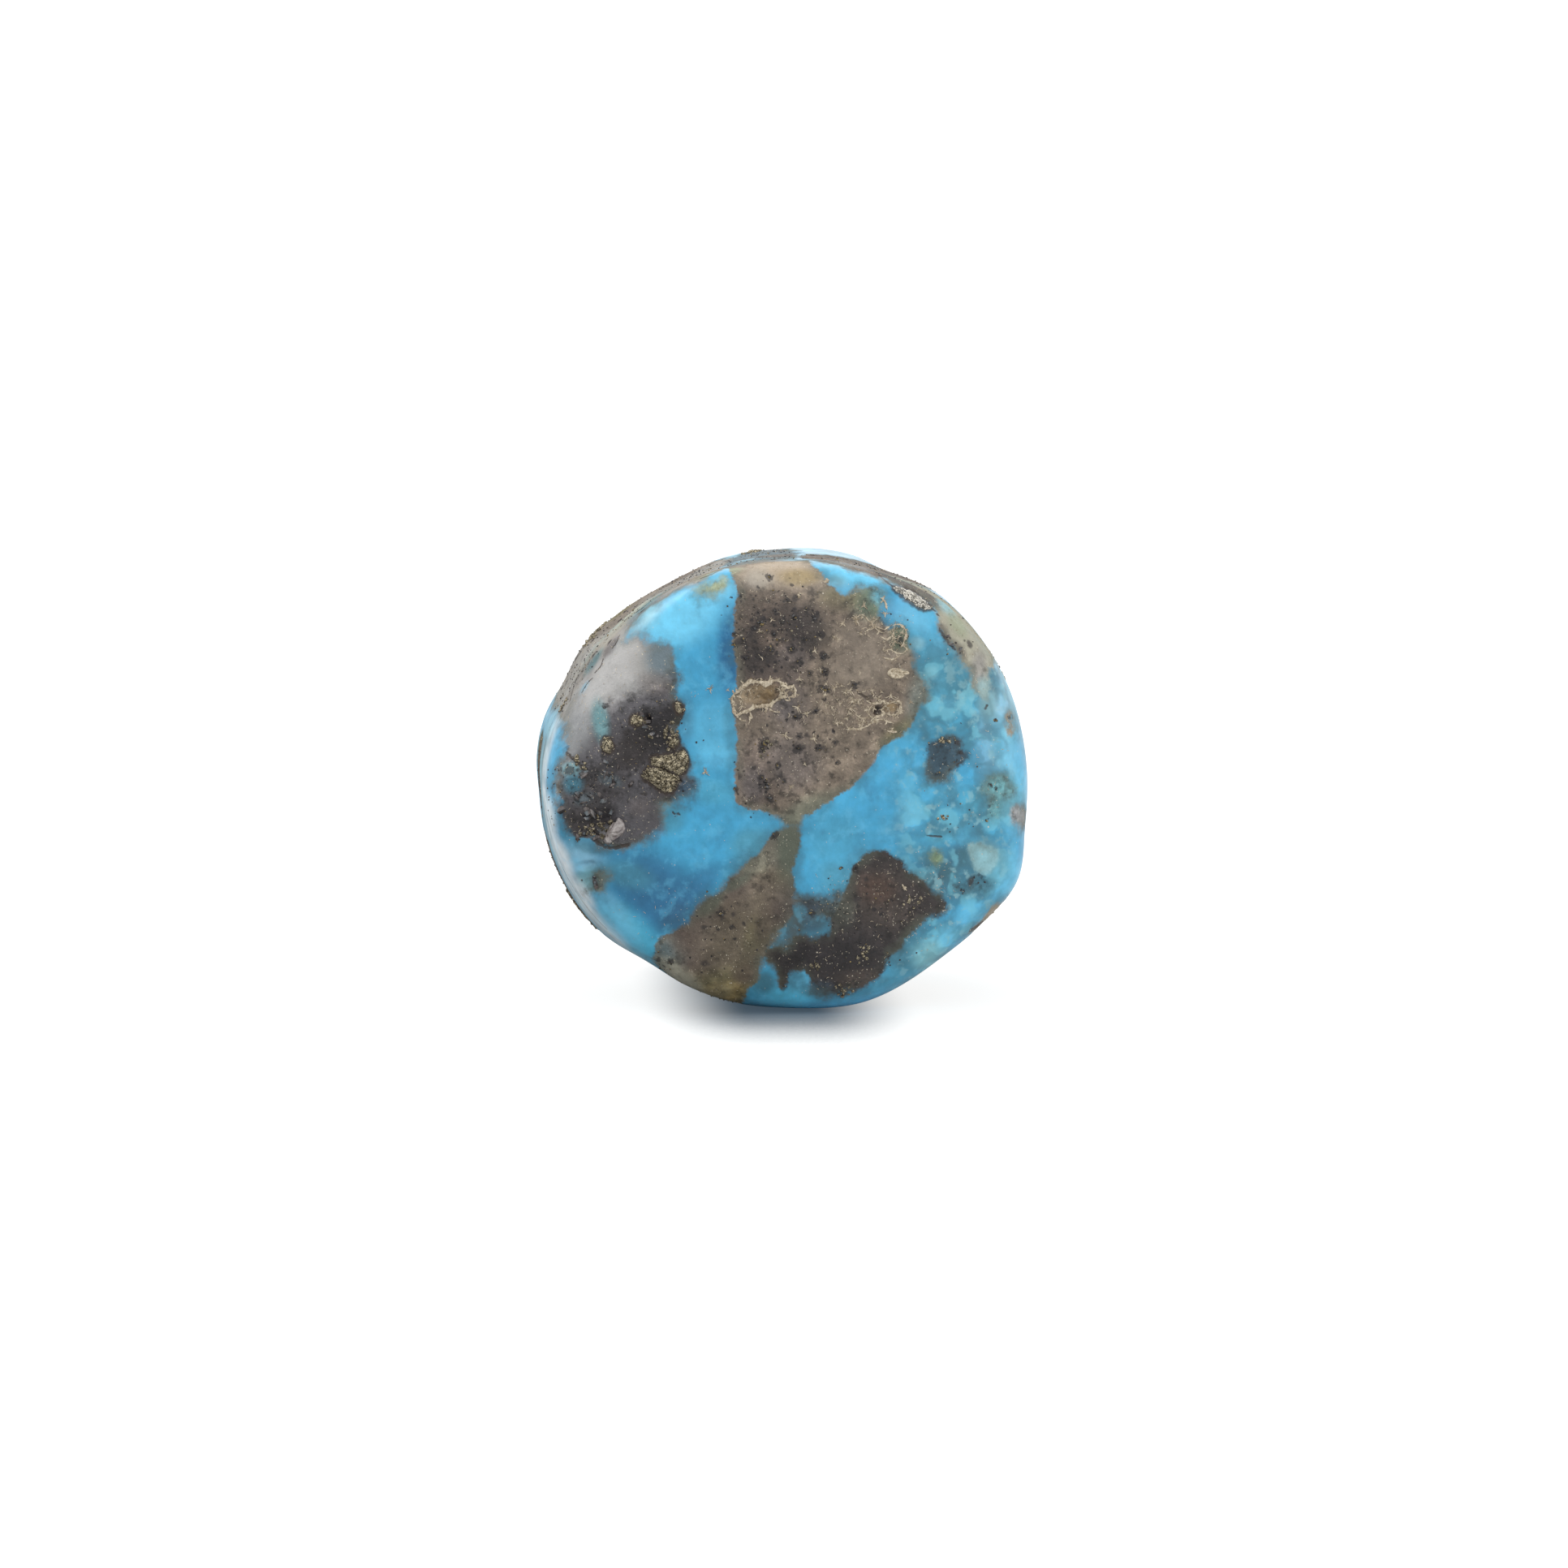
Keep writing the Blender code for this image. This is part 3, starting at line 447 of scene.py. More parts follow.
MATRIX_TINTS = rows_of(Tint, (
    # central wedge
    (-0.4, 5.7, 2.5, 3.0, 0, "brown", 0.9), (3.1, 5.0, 1.9, 2.2, 0, "haze", 0.12),
    # The tan along the wedge's top is partly its own colour and partly painted sheen.
    (-0.1, 8.45, 2.5, 0.9, 0, "tan", 1.0), (-1.0, 8.2, 0.9, 0.6, 0, "haze", 0.7),
    (0.7, 8.25, 1.2, 0.5, 0, "olive_yellow", 0.6), (1.0, 6.0, 1.3, 1.5, -20, "dark", 0.8),
    (0.2, 6.6, 1.5, 1.0, 0, "dark", 0.5), (-0.8, 4.75, 1.2, 0.9, 0, "dark", 0.85),
    (-1.4, 6.4, 0.7, 1.8, 0, "dark", 0.35), (0.4, 4.9, 1.0, 0.9, 0, "lilac", 0.6),
    (3.8, 7.3, 1.5, 1.1, 0, "green", 0.95), (4.2, 7.5, 0.8, 0.6, 0, "dull_teal", 0.8),
    (2.4, 7.4, 1.2, 0.8, 0, "olive", 0.7), (5.75, 3.3, 0.9, 1.7, -10, "sage", 0.9),
    (4.9, 1.8, 1.4, 0.7, 35, "olive", 0.8), (0.3, 0.6, 2.0, 1.7, 0, "lilac", 0.7),
    (1.0, -1.4, 1.9, 0.8, 30, "tip", 1.0), (-1.2, 0.3, 1.1, 2.0, 0, "grey_brown", 0.9),
    (-0.7, -0.6, 1.0, 0.9, 0, "brown", 0.7), (-1.2, -0.3, 0.8, 1.1, 0, "smoky_grey", 0.5),
    (0.3, 3.0, 1.3, 1.8, 0, "lilac", 0.6), (0.1, 2.9, 0.6, 0.7, 0, "smoky_grey", 0.5),
    (5.0, 5.9, 0.8, 1.0, 0, "green", 0.8), (-0.4, 4.1, 1.8, 1.0, 0, "bark", 0.55),
    (-0.9, 2.7, 1.4, 0.6, 10, "bark", 0.4), (4.2, 3.2, 1.3, 0.7, 0, "brown", 0.4),
    (2.2, 6.9, 1.2, 0.8, 0, "brown", 0.4), (2.3, 5.2, 1.2, 0.9, 0, "brown", 0.25),
    (-1.35, 5.2, 0.8, 1.5, 0, "dark", 0.5), (-1.2, 4.2, 0.9, 0.5, 0, "dark", 0.3),
    # Painted shade in the long vug's hollow: the pit tint at (-0.95, 3.45).
    (-0.95, 3.45, 1.3, 0.65, 10, "pit", 0.3), (-0.95, 3.45, 1.2, 0.6, 12, "ochre", 0.85),
    (-1.3, 3.4, 0.8, 0.4, 10, "tan", 0.2), (4.78, 4.29, 0.46, 0.24, 0, "dusty", 1.0),
    # Painted shade in the right vug's hollow: the pit tint at (3.92, 2.78).
    (3.92, 2.78, 0.33, 0.3, 0, "pit", 1.0), (4.5, 2.9, 0.4, 0.3, 0, "ochre", 0.9),
    # neck and lower left wedge
    (0.3, -2.9, 1.0, 1.9, 0, "moss", 1.0), (0.2, -4.9, 0.8, 2.0, 0, "moss", 0.8),
    (-1.6, -5.6, 2.2, 1.5, 30, "brown", 0.6), (-2.5, -8.8, 3.0, 1.6, 12, "olive", 0.8),
    (-2.3, -7.1, 2.1, 0.8, 28, "bark", 0.85), (-3.9, -6.0, 1.4, 0.5, 42, "bark", 0.9),
    (-1.0, -3.5, 1.3, 0.8, 42, "tip", 0.8), (-1.5, -4.15, 1.4, 0.28, 5, "bark", 0.7),
    (-2.5, -8.9, 1.9, 0.65, 14, "olive_yellow", 1.0), (-2.6, -8.8, 1.0, 0.5, 14, "tip", 0.5),
    (-1.5, -8.0, 0.9, 0.8, 20, "brown", 0.95), (-2.1, -5.5, 1.3, 0.8, 40, "brown", 0.7),
    (-3.0, -5.2, 1.0, 0.55, 45, "moss", 0.9), (-3.0, -5.2, 0.8, 0.45, 45, "dark", 0.25),
    (-1.8, -4.3, 1.0, 0.35, 30, "moss", 0.8), (-4.9, -7.3, 1.3, 1.2, 0, "sage", 0.8),
    (-4.9, -7.2, 0.7, 0.6, 0, "steel", 0.3), (-0.6, -4.6, 1.3, 1.1, 40, "olive", 0.5),
    (-0.9, -6.3, 0.8, 1.7, -25, "olive", 0.7), (-0.6, -5.8, 0.8, 1.4, -25, "brown", 1.0),
    (-1.1, -4.9, 1.6, 1.0, 40, "grey_brown", 0.6), (-1.8, -6.6, 2.8, 2.4, 35, "olive", 0.28),
    (-1.0, -7.0, 0.8, 1.0, -20, "dark", 0.4), (0.1, -5.0, 0.8, 1.3, 0, "bark", 0.6),
    (-2.7, -5.9, 1.3, 0.8, 40, "dark", 0.3), (-0.6, -5.9, 0.7, 0.9, -20, "dark", 0.25),
    # Painted reflection of the white floor on the polished underside: the tan grey at (-4.3,
    # -8.25).
    (-4.3, -8.25, 1.8, 0.7, -38, "tan_grey", 0.85), (0.1, -5.7, 0.8, 1.4, -10, "dark", 0.35),
    (-4.0, -6.8, 1.0, 0.6, 35, "brown", 0.5),
    # lower right lobe
    (4.2, -5.0, 2.6, 1.7, -20, "brown", 0.38), (2.5, -5.3, 0.8, 1.2, 0, "moss", 0.4),
    (3.9, -4.6, 1.2, 0.9, -20, "rust", 0.3), (0.3, -7.4, 1.4, 0.9, 0, "black", 0.7),
    (2.4, -7.3, 2.4, 1.2, 0, "black", 0.6), (3.3, -8.3, 1.6, 0.6, 0, "brown", 0.4),
    (5.6, -5.0, 1.3, 1.0, -20, "dark", 0.7), (1.6, -8.6, 0.8, 0.4, 0, "smoke", 0.7),
    # left patch
    (-6.05, 6.05, 1.1, 0.22, 47, "pale_blue", 1.0), (-5.6, 2.7, 0.35, 0.4, 0, "black", 1.0),
    (-4.75, -1.5, 0.45, 0.8, 0, "veil", 0.7), (-8.3, 2.6, 1.0, 2.2, -8, "mist", 1.0),
    # The mauve tints on the left patch's upper part are partly its pale grey colour and partly
    # painted sheen.
    (-8.8, 1.5, 0.6, 1.4, -8, "mist", 0.8), (-6.2, 4.9, 2.0, 1.5, -35, "mauve", 1.0),
    (-7.5, 4.1, 2.1, 1.7, 50, "mauve", 1.0), (-5.2, 4.7, 1.3, 1.5, 0, "stone_grey", 0.5),
    (-4.9, 4.9, 1.1, 1.2, 0, "slate_grey", 0.95), (-4.3, 4.2, 0.5, 0.6, 0, "steel_dark", 0.7),
    # More painted sheen in the mauve at (-6.5, 3.9).
    (-6.5, 3.9, 1.4, 0.8, -12, "mauve", 0.7), (-8.0, 4.0, 0.8, 1.0, 40, "mist", 0.6),
    (-5.2, 3.9, 1.1, 0.7, 0, "lilac", 0.5), (-5.35, 1.75, 1.75, 1.4, 0, "black", 1.0),
    (-4.6, 2.5, 1.2, 0.75, 0, "black", 1.0), (-6.3, 1.0, 1.4, 1.2, 0, "dark", 0.9),
    (-4.6, -0.5, 1.2, 0.7, 20, "dark", 0.8), (-3.85, -0.55, 0.7, 0.7, 0, "steel_dark", 0.9),
    (-7.6, -0.4, 1.7, 1.3, 0, "dark", 0.65), (-7.1, -0.1, 0.7, 0.35, -20, "slate_grey", 0.5),
    (-8.2, -0.9, 0.6, 0.3, 30, "slate_grey", 0.45), (-8.3, -1.8, 1.4, 1.0, 0, "dark", 0.8),
    (-5.6, -1.7, 1.3, 1.3, 0, "smoky_grey", 1.0), (-5.9, -1.2, 0.7, 0.6, 0, "lilac", 0.4),
    (-7.5, 2.35, 0.5, 1.25, 8, "teal_grey", 1.0), (-8.75, 0.35, 0.55, 0.4, 0, "pale", 0.8),
    (-8.65, -0.25, 0.6, 0.6, 0, "steel", 0.9), (-7.4, -1.45, 0.9, 0.42, 8, "black", 1.0),
    (-9.4, -1.0, 0.3, 1.7, 0, "ochre", 0.5),
    # upper right
    (4.9, 8.25, 2.0, 0.75, -33, "bark", 1.0), (6.1, 7.4, 0.8, 0.35, -45, "bark", 0.9),
    (6.75, 7.15, 0.8, 0.45, -50, "pale", 0.8), (6.55, 5.95, 0.35, 0.7, 20, "grey_brown", 0.9),
    (7.15, 5.3, 0.8, 0.35, -40, "grey_brown", 0.8), (7.2, 6.3, 0.9, 0.4, -55, "veil", 0.6),
    (8.1, 4.5, 0.5, 1.1, 0, "stone_grey", 0.9), (8.3, 3.6, 0.6, 0.8, 0, "pale", 0.6),
    (9.2, 2.2, 0.4, 0.4, 0, "tan", 0.7),
))

# Tints that come and go in waves: swatch, span and shift of the waves, and the heights between
# which the tint sets in. The streaks on the side run round it, so they have a length and a width.
Wave = namedtuple("Wave", "swatch span shift low high")
STREAKS = (
    Wave("bark", 1.0, 5.0, 0.05, 0.45),
    Wave("mist", 1.0, 25.0, 0.0, 0.4),
    Wave("teal_grey", 1.0, 45.0, 0.1, 0.35),
    Wave("olive", 1.0, 65.0, 0.1, 0.4),
    Wave("dark", 1.0, 85.0, 0.3, 0.55),
)
STREAK_LENGTH, STREAK_WIDTH, STREAK_STRENGTH = 2.6, 0.85, 0.24
STREAK_SWAY, STREAK_SWAY_SPAN = 0.35, 1.6
MATRIX_WAVES = (
    Wave("greige", 3.4, 5.0, -0.1, 0.5),
    Wave("brown", 2.6, 13.0, 0.0, 0.5),
    Wave("dark", 3.0, 23.0, 0.15, 0.5),
    Wave("olive", 2.8, 33.0, 0.15, 0.5),
)
MATRIX_WAVE_STRENGTH = 0.85
BLUE_WAVES = (
    Wave("sky", 4.5, 51.0, -0.2, 0.5),
    Wave("teal", 3.5, 61.0, 0.0, 0.5),
    Wave("dull_deep", 4.0, 71.0, 0.05, 0.6),
    Wave("pale", 2.0, 81.0, 0.25, 0.7),
)
BLUE_WAVE_STRENGTH = 0.8

# Where a patch's edge is softer or crisper than the rest of it; the amount is the softness.
EDGE_SPOTS = rows_of(Spread, (
    (-4.0, 2.4, 1.0, 1.3, 0, 0.07), (-3.9, -0.8, 1.1, 1.0, 0, 0.42),
    (-5.2, -2.4, 1.2, 0.9, 0, 0.35), (-5.2, 6.0, 1.2, 0.8, 0, 0.30), (-4.3, 4.9, 0.6, 0.9, 0, 0.12),
    (-8.0, -2.5, 1.6, 0.5, 0, 0.08), (3.6, 7.6, 1.6, 0.8, 0, 0.25), (4.3, 6.5, 0.9, 0.8, 0, 0.22),
    (5.6, 5.0, 0.7, 1.4, 0, 0.28), (0.3, -1.8, 1.2, 0.6, 0, 0.25), (-2.8, -5.1, 3.0, 0.8, 45, 0.2),
    (1.5, -4.9, 1.6, 0.5, 0, 0.3), (-0.4, -7.2, 0.8, 1.6, 0, 0.2), (6.2, -5.2, 1.2, 1.0, 0, 0.2),
    (1.6, -7.0, 3.0, 0.9, 0, 0.22), (2.0, -8.8, 1.8, 0.6, 0, 0.28), (5.95, 3.4, 0.8, 0.9, 0, 0.2),
))

HALO_REACH = 3  # radii, within which a speck darkens the matrix round it
# Dark specks that have a place of their own: across, above and radius.
SPECKS = (
    (-0.9, 6.4, 0.13), (0.0, 6.4, 0.11), (0.55, 6.6, 0.13), (1.35, 6.6, 0.12), (1.0, 6.9, 0.08),
    (-0.35, 5.9, 0.1), (-0.5, 5.3, 0.14), (0.4, 5.3, 0.12), (1.7, 5.0, 0.13), (1.15, 4.3, 0.09),
    (1.75, 4.3, 0.14), (0.7, 4.75, 0.1), (1.6, 3.7, 0.14), (1.85, 3.6, 0.1), (2.95, 3.8, 0.12),
    (0.6, 2.5, 0.12), (1.4, 2.75, 0.09), (-0.75, 1.4, 0.17), (-0.8, 1.2, 0.12), (0.7, 1.7, 0.1),
    (0.7, 1.2, 0.14), (1.5, 1.25, 0.12), (2.2, 1.45, 0.08), (-0.55, 8.25, 0.1), (-1.7, 7.45, 0.08),
    (-1.15, 6.15, 0.09), (-1.6, 5.65, 0.1), (-0.7, -0.3, 0.17), (-0.5, -0.8, 0.14),
    (-0.9, 0.0, 0.1), (-0.2, 0.5, 0.1), (2.3, 0.6, 0.08), (0.1, -0.1, 0.08), (-2.0, 5.9, 0.09),
    (-2.0, 5.45, 0.09), (-1.95, -0.45, 0.1), (-0.33, -2.35, 0.12), (-7.28, 2.93, 0.09),
    (7.35, 2.27, 0.05), (8.78, 2.4, 0.1), (9.4, 2.5, 0.07), (8.0, 0.45, 0.05), (5.8, -0.55, 0.05),
    (2.4, -3.7, 0.09), (3.0, -3.75, 0.11), (8.6, -0.3, 0.07), (8.8, -0.45, 0.06),
    (-4.6, -7.6, 0.09), (-5.1, -7.5, 0.07), (-2.5, -5.6, 0.12), (-2.1, -6.1, 0.08),
    (1.2, -5.6, 0.1), (6.6, -1.6, 0.1), (6.75, -1.7, 0.07), (8.4, -1.8, 0.09), (6.9, -1.9, 0.06),
    (0.2, 7.3, 0.09), (-0.3, 6.9, 0.07), (1.6, 5.9, 0.1), (0.9, 5.7, 0.12), (-1.5, 4.9, 0.1),
)

# How thickly each kind of small thing lies: soft ellipses again, with an amount.
GRIT = rows_of(Spread, (  # dark grains
    (-0.3, 5.8, 2.8, 3.0, 0, 0.9), (-0.9, 0.1, 1.5, 2.4, 0, 0.7), (0.6, 2.0, 2.6, 2.0, 0, 0.4),
    (-5.2, 1.2, 2.2, 2.4, 0, 0.8), (-8.3, -0.6, 1.9, 2.4, 0, 0.9), (6.7, 0.9, 1.3, 1.3, 0, 0.6),
    (7.6, -4.4, 1.2, 0.7, 0, 0.8), (7.6, -1.6, 2.0, 1.0, 0, 0.35), (-2.6, -6.6, 2.4, 2.2, 0, 0.4),
    (3.0, -6.2, 3.6, 2.8, 0, 0.5), (-7.7, -4.3, 0.9, 0.8, 0, 0.45), (-4.9, -7.5, 1.0, 0.7, 0, 0.8),
    (4.8, 6.0, 1.4, 1.2, 0, 0.5), (7.0, 5.6, 1.0, 0.8, 0, 0.7),
))
SHARDS = rows_of(Spread, (  # broken grey grains
    (-7.4, 0.1, 1.5, 0.8, 0, 1.0), (-8.2, -1.1, 1.3, 0.9, 0, 0.8), (-6.7, -0.1, 0.8, 0.7, 0, 0.9),
    (-7.6, -2.2, 1.1, 0.5, 10, 0.6), (-5.2, 2.4, 1.2, 0.8, 0, 0.35), (4.7, 6.0, 0.8, 0.9, 0, 0.4),
    (-7.8, -4.3, 0.6, 0.5, 0, 0.3), (7.0, 5.7, 0.8, 0.6, -35, 0.6),
))
CALM = rows_of(Spread, (  # even colour, with little grain in the matrix
    (-5.7, 5.2, 2.4, 1.9, -20, 0.85), (-8.4, 2.4, 1.4, 2.8, -8, 0.7),
    (-5.4, -1.9, 1.7, 1.4, 0, 0.6), (-2.6, -6.4, 4.2, 3.6, 0, 0.4), (0.4, -3.4, 1.2, 2.6, 0, 0.8),
    (-0.1, 8.6, 3.0, 1.2, 0, 0.6), (7.4, 6.4, 2.6, 2.6, 0, 0.5), (3.2, 4.9, 1.8, 2.0, 0, 0.4),
))
DUST = rows_of(Spread, (
    (3.9, -5.4, 4.0, 3.4, 0, 0.7), (-2.6, -6.4, 3.6, 3.2, 0, 0.55), (-5.5, -5.2, 3.4, 2.6, 0, 0.22),
    (6.2, -4.4, 2.0, 1.6, 0, 0.6), (8.0, 0.0, 2.4, 3.0, 0, 0.4),
))
PYRITE_GRAINS = rows_of(Spread, (
    (-4.9, 0.3, 1.25, 1.0, 35, 0.12), (-4.6, 1.9, 0.45, 0.9, 10, 0.45),
    (-4.2, 2.85, 0.4, 0.45, 0, 0.3), (-5.95, 2.35, 0.5, 0.45, 0, 0.45),
    (-5.4, 1.8, 0.25, 0.25, 0, 0.6), (-7.2, 1.35, 0.36, 0.5, 20, 0.2),
    (-8.4, 0.6, 0.75, 0.3, -35, 0.5), (-7.65, -2.1, 0.85, 0.6, 20, 0.7),
    (3.3, -7.2, 0.5, 0.45, 0, 0.7), (4.5, -7.1, 0.3, 0.3, 0, 0.6), (2.4, -8.75, 0.6, 0.3, -5, 0.8),
    (6.6, 1.5, 0.8, 0.3, 15, 0.5), (6.6, -1.65, 0.4, 0.3, 0, 0.1), (1.4, -7.8, 0.3, 0.3, 0, 0.6),
    (-4.65, 2.05, 0.3, 0.3, 0, 0.8), (5.4, -5.0, 0.8, 0.7, 0, 0.15), (0.8, 6.3, 1.5, 1.0, 0, 0.03),
    (-0.7, 1.2, 0.4, 0.5, 0, 0.25),
))
FIBRES = rows_of(Spread, (  # pale curled flakes
    (3.0, 2.9, 2.6, 1.5, -8, 0.75), (-0.8, 3.2, 1.6, 1.0, 8, 0.25), (3.5, 6.4, 1.2, 0.9, 0, 0.6),
    (4.6, 5.8, 0.9, 1.1, 0, 0.9), (4.2, 2.6, 1.0, 0.8, 0, 0.5), (0.6, 3.0, 1.6, 1.2, 0, 0.3),
    (-3.3, 3.55, 1.8, 0.4, 0, 0.16), (-3.0, 0.6, 1.0, 1.0, 0, 0.04), (1.5, 5.0, 3.6, 4.0, 0, 0.06),
    (0.8, 0.6, 2.6, 2.0, 0, 0.05),
))

CRUST_FRINGE = 0.16  # mm beside a route, within which loose flakes lie
# Routes of the crust that rims the hollows, and its half width.
CRUST_ROUTES = (
    (0.075, ((-2.0, 3.45), (-1.71, 3.67), (-1.31, 3.93), (-0.73, 3.96), (-0.21, 4.0), (0.1, 3.8))),
    (0.055, ((-0.1, 3.95), (0.21, 3.73), (0.48, 3.84))),
    (0.055, ((0.48, 3.84), (0.53, 3.6), (0.5, 3.4), (0.25, 3.3))),
    (0.085, ((-2.05, 3.15), (-1.94, 2.6), (-1.54, 2.75), (-0.96, 2.93), (-0.5, 3.02), (-0.1, 3.3),
             (0.2, 3.32))),
    (0.05, ((-0.1, 3.3), (-0.05, 3.55), (0.15, 3.7))),
    (0.035, ((-1.35, 2.75), (-1.3, 2.5), (-1.4, 2.2))),
    (0.035, ((-1.9, 2.6), (-1.75, 2.4), (-1.5, 2.35))),
    (0.055, ((-2.0, 3.45), (-2.1, 3.2), (-2.0, 2.9))),
    (0.03, ((-1.6, 3.7), (-1.75, 3.4), (-1.6, 3.15))),
    (0.03, ((-0.6, 2.95), (-0.4, 2.75), (-0.1, 2.7))),
    (0.045, ((3.46, 3.15), (3.81, 3.04), (4.1, 3.15), (4.27, 3.04), (4.79, 3.15), (4.84, 2.69),
             (4.56, 2.58), (4.21, 2.63))),
    (0.045, ((4.27, 3.04), (4.15, 2.8), (4.21, 2.63), (3.75, 2.46), (3.52, 2.63), (3.46, 2.9))),
    (0.035, ((2.6, 2.0), (3.18, 2.0), (3.64, 2.23), (3.98, 2.4), (4.56, 2.23))),
    (0.03, ((3.0, 2.6), (3.3, 2.45), (3.6, 2.5))),
    (0.06, ((4.3, 1.92), (4.5, 1.9), (4.7, 1.86))),
    (0.05, ((4.05, 7.4), (4.2, 7.2), (4.3, 6.9))),
    (0.05, ((0.65, 7.6), (0.68, 7.5), (0.66, 7.38))),
    (0.045, ((1.8, 8.2), (1.82, 8.1), (1.8, 8.0))),
    (0.025, ((2.9, 6.5), (3.3, 6.7), (3.6, 6.4), (3.9, 6.5))),
    (0.025, ((3.4, 6.0), (3.8, 6.2), (4.2, 6.1), (4.5, 6.3))),
    (0.03, ((4.6, 6.3), (4.95, 6.25), (5.1, 5.9), (5.0, 5.5), (5.15, 5.2))),
    (0.025, ((4.6, 6.3), (4.55, 5.9), (4.3, 5.7), (4.0, 5.8))),
    (0.025, ((4.2, 5.2), (4.5, 5.3), (4.9, 5.1), (5.1, 5.25))),
    (0.025, ((4.1, 4.95), (4.5, 4.85), (4.8, 5.0))),
    (0.03, ((4.95, -4.4), (5.0, -4.5), (5.05, -4.6), (5.15, -4.65))),
)
OVAL_FLAKE = (
    (4.3, 4.3), (4.4, 4.45), (4.62, 4.52), (4.85, 4.48), (4.98, 4.36), (5.15, 4.38), (5.25, 4.27),
    (5.05, 4.24), (4.98, 4.12), (4.75, 4.05), (4.5, 4.08), (4.35, 4.18),
)
QUARTZ_OUTLINE = (
    (-7.05, -1.9), (-6.8, -1.65), (-6.5, -1.9), (-6.5, -2.25), (-6.9, -2.5), (-7.15, -2.8),
    (-7.4, -2.6), (-7.1, -2.2),
)
RIM_PLATE_OUTLINE = (
    (4.5, 7.8), (4.9, 7.84), (5.3, 7.7), (5.65, 7.45), (5.95, 7.2), (6.15, 6.95), (5.85, 6.86),
    (5.45, 6.98), (5.1, 7.2), (4.8, 7.48),
)
PYRITE_OUTLINES = (
    (  # upper lobe of the nodule
        (-5.42, 0.62), (-5.36, 0.88), (-4.91, 0.95), (-4.47, 1.04), (-4.08, 1.18), (-3.86, 0.95),
        (-3.8, 0.6), (-3.95, 0.27), (-4.22, 0.06), (-4.5, 0.22), (-4.8, 0.36), (-5.1, 0.44),
        (-5.35, 0.46),
    ),
    (  # lower lobe
        (-5.8, 0.0), (-5.74, 0.22), (-5.45, 0.44), (-5.1, 0.45), (-4.8, 0.36), (-4.5, 0.21),
        (-4.22, 0.05), (-4.28, -0.3), (-4.56, -0.63), (-4.9, -0.6), (-5.36, -0.32),
    ),
    ((-4.62, 1.25), (-4.38, 1.2), (-4.2, 1.4), (-4.25, 1.7), (-4.45, 1.75), (-4.6, 1.55)),
    ((-4.3, 2.6), (-4.05, 2.7), (-4.1, 3.0), (-4.3, 3.15), (-4.45, 3.0)),
    ((-6.25, 2.2), (-5.9, 2.1), (-5.7, 2.3), (-5.85, 2.6), (-6.2, 2.55)),
    ((-7.35, 1.7), (-7.1, 1.65), (-6.95, 1.3), (-7.1, 1.0), (-7.35, 1.1), (-7.45, 1.4)),
)
CREVICE = ((-5.05, 0.4), (-4.75, 0.25), (-4.45, 0.0), (-4.15, -0.2))


# --- Small helpers --------------------------------------------------------------------------------
FAR = 1.5  # mm, past which the distance to an outline no longer matters


def rise(value, low, high):
    """0 up to low, 1 from high, and smooth in between."""
    t = np.clip((value - low) / (high - low), 0, 1)
    return t * t * (3 - 2 * t)


def soft_bump(share):
    """1 at the middle of a place and 0 from its edge outwards, with no crease."""
    return rise(1 - share, 0, 1)


def plateau(share):
    """1 over the middle of a place, and 0 from its edge outwards."""
    return rise(1 - share, 0, 0.7)


def waves(points, span, shift=0.0):
    """Smooth noise between about -1 and 1, with swells about one span apart."""
    offset = Vector((shift, 1.7 * shift, 2.3 * shift))
    return np.array([noise.noise(Vector(p) / span + offset) for p in points.tolist()])


def share_from(place, places):
    """How far each chart place lies from an ellipse's middle, 1 being the ellipse's edge."""
    turn = math.radians(place.turn)
    across, above = places[:, 0] - place.across, places[:, 1] - place.above
    lengthwise = across * math.cos(turn) + above * math.sin(turn)
    widthwise = above * math.cos(turn) - across * math.sin(turn)
    return np.hypot(lengthwise / place.length, widthwise / place.width)


def smooth_route(points, closed, steps=5):
    """Points on a smooth curve through the given ones."""
    p = np.array(points, float)
    if closed:
        before, after, beyond = np.roll(p, 1, 0), np.roll(p, -1, 0), np.roll(p, -2, 0)
        start = p
    else:
        padded = np.vstack([2 * p[0] - p[1], p, 2 * p[-1] - p[-2]])
        before, start, after, beyond = padded[:-3], padded[1:-2], padded[2:-1], padded[3:]
    t = np.linspace(0, 1, steps, endpoint=False)[:, None, None]
    curve = 0.5 * (
        2 * start
        + (after - before) * t
        + (2 * before - 5 * start + 4 * after - beyond) * t**2
        + (3 * start - before - 3 * after + beyond) * t**3
    )
    curve = curve.transpose(1, 0, 2).reshape(-1, p.shape[1])
    return curve if closed else np.vstack([curve, p[-1]])


def distance_to(places, route, closed):
    """Distance from each chart place to a route, up to FAR, and whether it lies inside."""
    ends = np.roll(route, -1, 0) if closed else route[1:]
    near = np.all((places > route.min(0) - FAR) & (places < route.max(0) + FAR), axis=1)
    x, y = places[near].T
    best = np.full(len(x), FAR**2)
    inside = np.zeros(len(x), bool)
    for (x0, y0), (x1, y1) in zip(route, ends):
        dx, dy = x1 - x0, y1 - y0
        t = np.clip(((x - x0) * dx + (y - y0) * dy) / max(dx * dx + dy * dy, 1e-12), 0, 1)
        best = np.minimum(best, (x0 + t * dx - x) ** 2 + (y0 + t * dy - y) ** 2)
        if (y0 > y1) or (y1 > y0):
            inside ^= ((y0 > y) != (y1 > y)) & (x < x0 + (y - y0) * dx / dy)
    distance, within = np.full(len(places), FAR), np.zeros(len(places), bool)
    distance[near], within[near] = np.sqrt(best), inside
    return distance, within


def depth_inside(places, outline):
    """How far inside a closed outline each chart place lies, negative outside."""
    distance, within = distance_to(places, smooth_route(outline, True), True)
    return np.where(within, distance, -distance)


